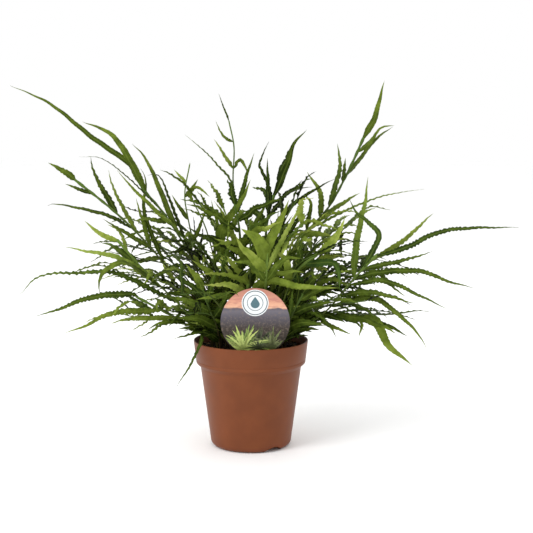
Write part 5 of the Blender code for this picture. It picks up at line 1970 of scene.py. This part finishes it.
@dataclass
class PlantLabel:
    """The round card on its stake, with its printed picture, clumps of drawn leaves and a plain badge."""

    rng: random.Random
    radius: float = 35 * MM
    thickness: float = 0.8 * MM
    stake_width: float = 14 * MM
    stake_depth: float = 38 * MM
    stake_point: float = 12 * MM
    badge_radius: float = 13.6 * MM
    badge_rise: float = 20.0 * MM
    badge_slate: str = "3E4A52"
    edge_steps: int = 96
    edge_wear: float = 0.18 * MM
    film: float = 0.06 * MM
    print_rise: float = 0.13 * MM
    clump_foot: float = -0.80
    clump_fan: float = 88
    clump_jitter: float = 7
    leaf_reach: tuple = (0.55, 1.1)
    leaf_slimness: float = 0.046
    leaf_teeth: float = 0.35
    teeth_turns: float = 28
    leaf_bend: float = 0.35
    leaf_drop: float = 0.30
    print_edge: float = 0.97

    def frame_matrix(self) -> Matrix:
        """The card's own frame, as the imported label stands.

        Returns:
            The frame: X to the right, Y up the card and Z out of its front.
        """
        low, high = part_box("plant_label")
        widest = max(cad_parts["plant_label"].data.polygons, key=lambda polygon: polygon.area)
        front = widest.normal if widest.normal.y < 0 else -widest.normal
        lean = math.atan2(-front.z, -front.y)
        half = self.thickness / 2
        height = high.z - self.radius * math.cos(lean) - half * math.sin(lean)
        depth = low.y + self.radius * math.sin(lean) + half * math.cos(lean)
        place = Matrix.Translation(((low.x + high.x) / 2, depth, height))
        return place @ Matrix.Rotation(lean + math.pi / 2, 4, "X")

    def build(self) -> list[bpy.types.Object]:
        """The card and what is printed on it.

        Returns:
            The finished pieces.
        """
        pieces = [
            self.card(),
            self.clump("label_undergrowth", 60, 0.05, 24 * MM, Ink("shadow_green_ink", "3A4420"), 0.02 * MM),
            self.clump("label_shadow", 30, 0.08, 11 * MM, Ink("deep_green_ink", "3A4420"), 0.10 * MM),
            self.clump("label_leaves_right", 34, 0.46, 24 * MM, Ink("moss_green_ink", "66703C"), 0.04 * MM),
            self.clump(
                "label_leaves_left_back", 26, -0.30, 27 * MM, Ink("mid_green_ink", "788F3C"), 0.06 * MM
            ),
            self.clump("label_leaves_left", 17, -0.36, 26 * MM, Ink("yellow_green_ink", "B4C468"), 0.08 * MM),
        ]
        pieces += self.badge()
        for piece in pieces:
            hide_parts("plant_label")
        return pieces

    def to_place(self, bm: bmesh.types.BMesh) -> None:
        """Moves a shape from the card's frame to its place."""
        bmesh.ops.transform(bm, matrix=self.frame_matrix(), verts=bm.verts)

    def card(self) -> bpy.types.Object:
        """The card and its stake, cut from one sheet, with softly worn edges.

        Returns:
            The finished piece.
        """
        bm = bmesh.new()
        half = self.stake_width / 2
        opening = math.asin(half / self.radius)
        outline = []
        for i in range(self.edge_steps + 1):
            angle = -math.pi / 2 + opening + (2 * math.pi - 2 * opening) * i / self.edge_steps
            outline.append((self.radius * math.cos(angle), self.radius * math.sin(angle)))
        shoulder = -self.radius - self.stake_depth + self.stake_point
        outline += [(-half, shoulder), (0, shoulder - self.stake_point), (half, shoulder)]
        corners = [bm.verts.new((x, y, -self.thickness / 2)) for x, y in outline]
        face = bm.faces.new(corners)
        grown = bmesh.ops.extrude_face_region(bm, geom=[face])
        raised = [item for item in grown["geom"] if isinstance(item, bmesh.types.BMVert)]
        bmesh.ops.translate(bm, verts=raised, vec=(0, 0, self.thickness))
        bmesh.ops.recalc_face_normals(bm, faces=bm.faces)
        level = [edge for edge in bm.edges if abs(edge.verts[0].co.z - edge.verts[1].co.z) < MERGE]
        rims = [edge for edge in level if edge.calc_face_angle(0) > 1.0]
        bmesh.ops.bevel(
            bm, geom=rims, offset=self.edge_wear, segments=2, profile=0.5, affect="EDGES", material=-1
        )
        self.to_place(bm)
        picture = PrintedLandscape(self.frame_matrix().translation, self.radius)
        return finish_piece(bm, "label_card", [picture.material()])

    def flat(self, bm: bmesh.types.BMesh, rise: float) -> None:
        """Gives flat faces a film's thickness, standing a hair off the card.

        Args:
            bm: The faces, drawn in the card's frame.
            rise: How far they stand off the card.
        """
        for vertex in bm.verts:
            vertex.co.z = self.thickness / 2 + rise
        grown = bmesh.ops.extrude_face_region(bm, geom=bm.faces[:])
        raised = [item for item in grown["geom"] if isinstance(item, bmesh.types.BMVert)]
        bmesh.ops.translate(bm, verts=raised, vec=(0, 0, -self.film))
        bmesh.ops.recalc_face_normals(bm, faces=bm.faces)
        self.to_place(bm)

    def clump(
        self, name: str, count: int, across: float, length: float, ink: Ink, rise: float
    ) -> bpy.types.Object:
        """A drawn clump of arching lance-shaped leaves, kept inside the card's edge.

        Args:
            name: The piece's name.
            count: How many leaves it has.
            across: Where its foot is, as a share of the card's radius to the right of its middle.
            length: The leaves' length.
            ink: The ink that it is printed in.
            rise: How far the ink stands off the card.

        Returns:
            The clump in its place.
        """
        bm = bmesh.new()
        foot = Vector((across * self.radius, self.clump_foot * self.radius, 0))
        for i in range(count):
            jitter = self.rng.uniform(-self.clump_jitter, self.clump_jitter)
            angle = math.radians(-self.clump_fan + 2 * self.clump_fan * i / (count - 1) + jitter)
            reach = length * self.rng.uniform(*self.leaf_reach)
            along_leaf = Vector((math.sin(angle), math.cos(angle), 0)) * reach
            across_leaf = Vector((math.cos(angle), -math.sin(angle), 0))
            made = bmesh.ops.create_grid(bm, x_segments=2, y_segments=14, size=1.0)
            for vertex in made["verts"]:
                share = (vertex.co.y + 1) / 2
                teeth = 1 + self.leaf_teeth * math.cos(vertex.co.y * self.teeth_turns)
                lance = math.sin(math.pi * min(0.985, share * 0.9 + 0.08))
                width = self.leaf_slimness * length * lance * teeth
                bend = self.leaf_bend * reach * math.sin(angle) * share * share
                drop = self.leaf_drop * reach * abs(math.sin(angle)) * share * share
                line = along_leaf * share + Vector((bend, -drop, 0))
                spot = foot + line + across_leaf * vertex.co.x * width
                far = spot.length / (self.print_edge * self.radius)
                vertex.co = spot / max(1.0, far)
        self.flat(bm, rise)
        return finish_piece(bm, name, [ink.material()])

    def badge(self) -> list[bpy.types.Object]:
        """A plain white disc with two thin rings and a water drop.

        Returns:
            The finished pieces.
        """
        centre = Vector((0, self.badge_rise, 0))
        size = self.badge_radius
        rings = (
            ("badge_disc", size, 0.0, 0.10 * MM, Ink("white_ink", "E9EEF0")),
            ("badge_ring", size * 0.92, size * 0.86, self.print_rise, Ink("slate_ink", self.badge_slate)),
            (
                "badge_inner_ring", size * 0.60, size * 0.56,
                self.print_rise, Ink("slate_ink_fine", self.badge_slate),
            ),
        )
        pieces = []
        for name, outer, inner, rise, ink in rings:
            bm = bmesh.new()
            bmesh.ops.create_circle(bm, cap_ends=True, segments=72, radius=outer)
            if inner:
                middle = bm.faces[:]
                bmesh.ops.inset_region(
                    bm, faces=middle, thickness=outer - inner, use_boundary=True, use_even_offset=True
                )
                bmesh.ops.delete(bm, geom=middle, context="FACES")
            bmesh.ops.translate(bm, verts=bm.verts, vec=centre)
            self.flat(bm, rise)
            pieces.append(finish_piece(bm, name, [ink.material()]))
        pieces.append(self.drop(centre))
        return pieces

    def drop(self, centre: Vector) -> bpy.types.Object:
        """The badge's water drop.

        Args:
            centre: The badge's middle in the card's frame.

        Returns:
            The finished piece.
        """
        bm = bmesh.new()
        size = self.badge_radius * 0.34
        bmesh.ops.create_circle(bm, cap_ends=True, segments=40, radius=size)
        for vertex in bm.verts:
            if vertex.co.y > 0:
                share = min(1.0, vertex.co.y / size)
                vertex.co.x *= math.sqrt(1 - share) * (1 + 0.2 * share)
                vertex.co.y *= 1 + 0.55 * share
        bmesh.ops.translate(bm, verts=bm.verts, vec=centre - Vector((0, size * 0.2, 0)))
        self.flat(bm, self.print_rise)
        return finish_piece(bm, "badge_drop", [Ink("teal_ink", "4C6F78").material()])


# ---------------------------- studio

@dataclass(frozen=True)
class Lamp:
    """A soft round lamp: its place and size in metres and its power in watts."""

    name: str
    place: tuple
    size: float
    power: float


@dataclass
class Studio:
    """The plain pale floor, the soft lamps and the camera."""

    eye: Vector = Vector((0.0164, -1.300, 0.363))
    target: Vector = Vector((0.0164, 0.0, 0.189))
    lens: float = 85.0
    key: Lamp = Lamp("key", (-1.1, -1.0, 1.3), 0.9, 17)
    back: Lamp = Lamp("back", (0.2, 1.3, 1.4), 1.2, 4)
    floor_size: float = 6.0
    floor_drop: float = 0.2 * MM
    floor_grey: float = 0.998

    def build(self) -> None:
        """Lays the floor, hangs the lights and sets the camera."""
        self.floor()
        self.light(self.key)
        self.light(self.back)
        world = bpy.data.worlds.new("studio")
        world.use_nodes = True
        background = world.node_tree.nodes["Background"]
        background.inputs["Color"].default_value = (1, 1, 1, 1)
        background.inputs["Strength"].default_value = 1.0
        scene = bpy.context.scene
        scene.world = world
        scene.view_settings.view_transform = "Standard"
        data = bpy.data.cameras.new("camera")
        data.lens = self.lens
        camera = bpy.data.objects.new("camera", data)
        camera.location = self.eye
        camera.rotation_euler = (self.target - self.eye).to_track_quat("-Z", "Y").to_euler()
        scene.collection.objects.link(camera)
        scene.camera = camera

    def floor(self) -> None:
        """The floor, a pale matte sheet."""
        bm = bmesh.new()
        bmesh.ops.create_grid(bm, x_segments=1, y_segments=1, size=self.floor_size)
        floor = to_object(bm, "floor")
        material, _, shader = new_material("pale_paper")
        shader.inputs["Base Color"].default_value = (*(self.floor_grey,) * 3, 1)
        shader.inputs["Roughness"].default_value = 0.9
        floor.data.materials.append(material)
        floor.location.z = -self.floor_drop

    def light(self, lamp: Lamp) -> None:
        """Hangs one lamp that looks at the plant.

        Args:
            lamp: The lamp.
        """
        data = bpy.data.lights.new(lamp.name, "AREA")
        data.shape = "DISK"
        data.size = lamp.size
        data.energy = lamp.power
        item = bpy.data.objects.new(lamp.name, data)
        item.location = lamp.place
        item.rotation_euler = (self.target - item.location).to_track_quat("-Z", "Y").to_euler()
        bpy.context.scene.collection.objects.link(item)


def main() -> None:
    """Builds the studio, the pot, the peat, the label and the fronds, in that order."""
    logging.basicConfig(level=logging.INFO, format="%(name)s: %(message)s")
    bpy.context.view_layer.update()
    Studio().build()
    pot = NurseryPot()
    peat_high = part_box("peat")[1]
    bed = Bed(radius=peat_high.x, edge=peat_high.z - PEAT_HEAP, heap=PEAT_HEAP)
    pot.build(MouldedPlastic())
    PeatBed(bed, pot, random.Random(PEAT_SEED)).build(Peat(), WoodFibre())
    PlantLabel(random.Random(LABEL_SEED)).build()
    growth = Growth(bed, pot.height)
    grower = Grower(growth)
    maker = FrondMaker(growth, FrondBlade().material(), WiryStalk().material(), random.Random(FROND_SEED))
    for frond in chosen_fronds() + RuledFronds(growth).fronds():
        maker.build(grower.read(frond))
    bpy.context.view_layer.update()


if __name__ == "__main__":
    main()
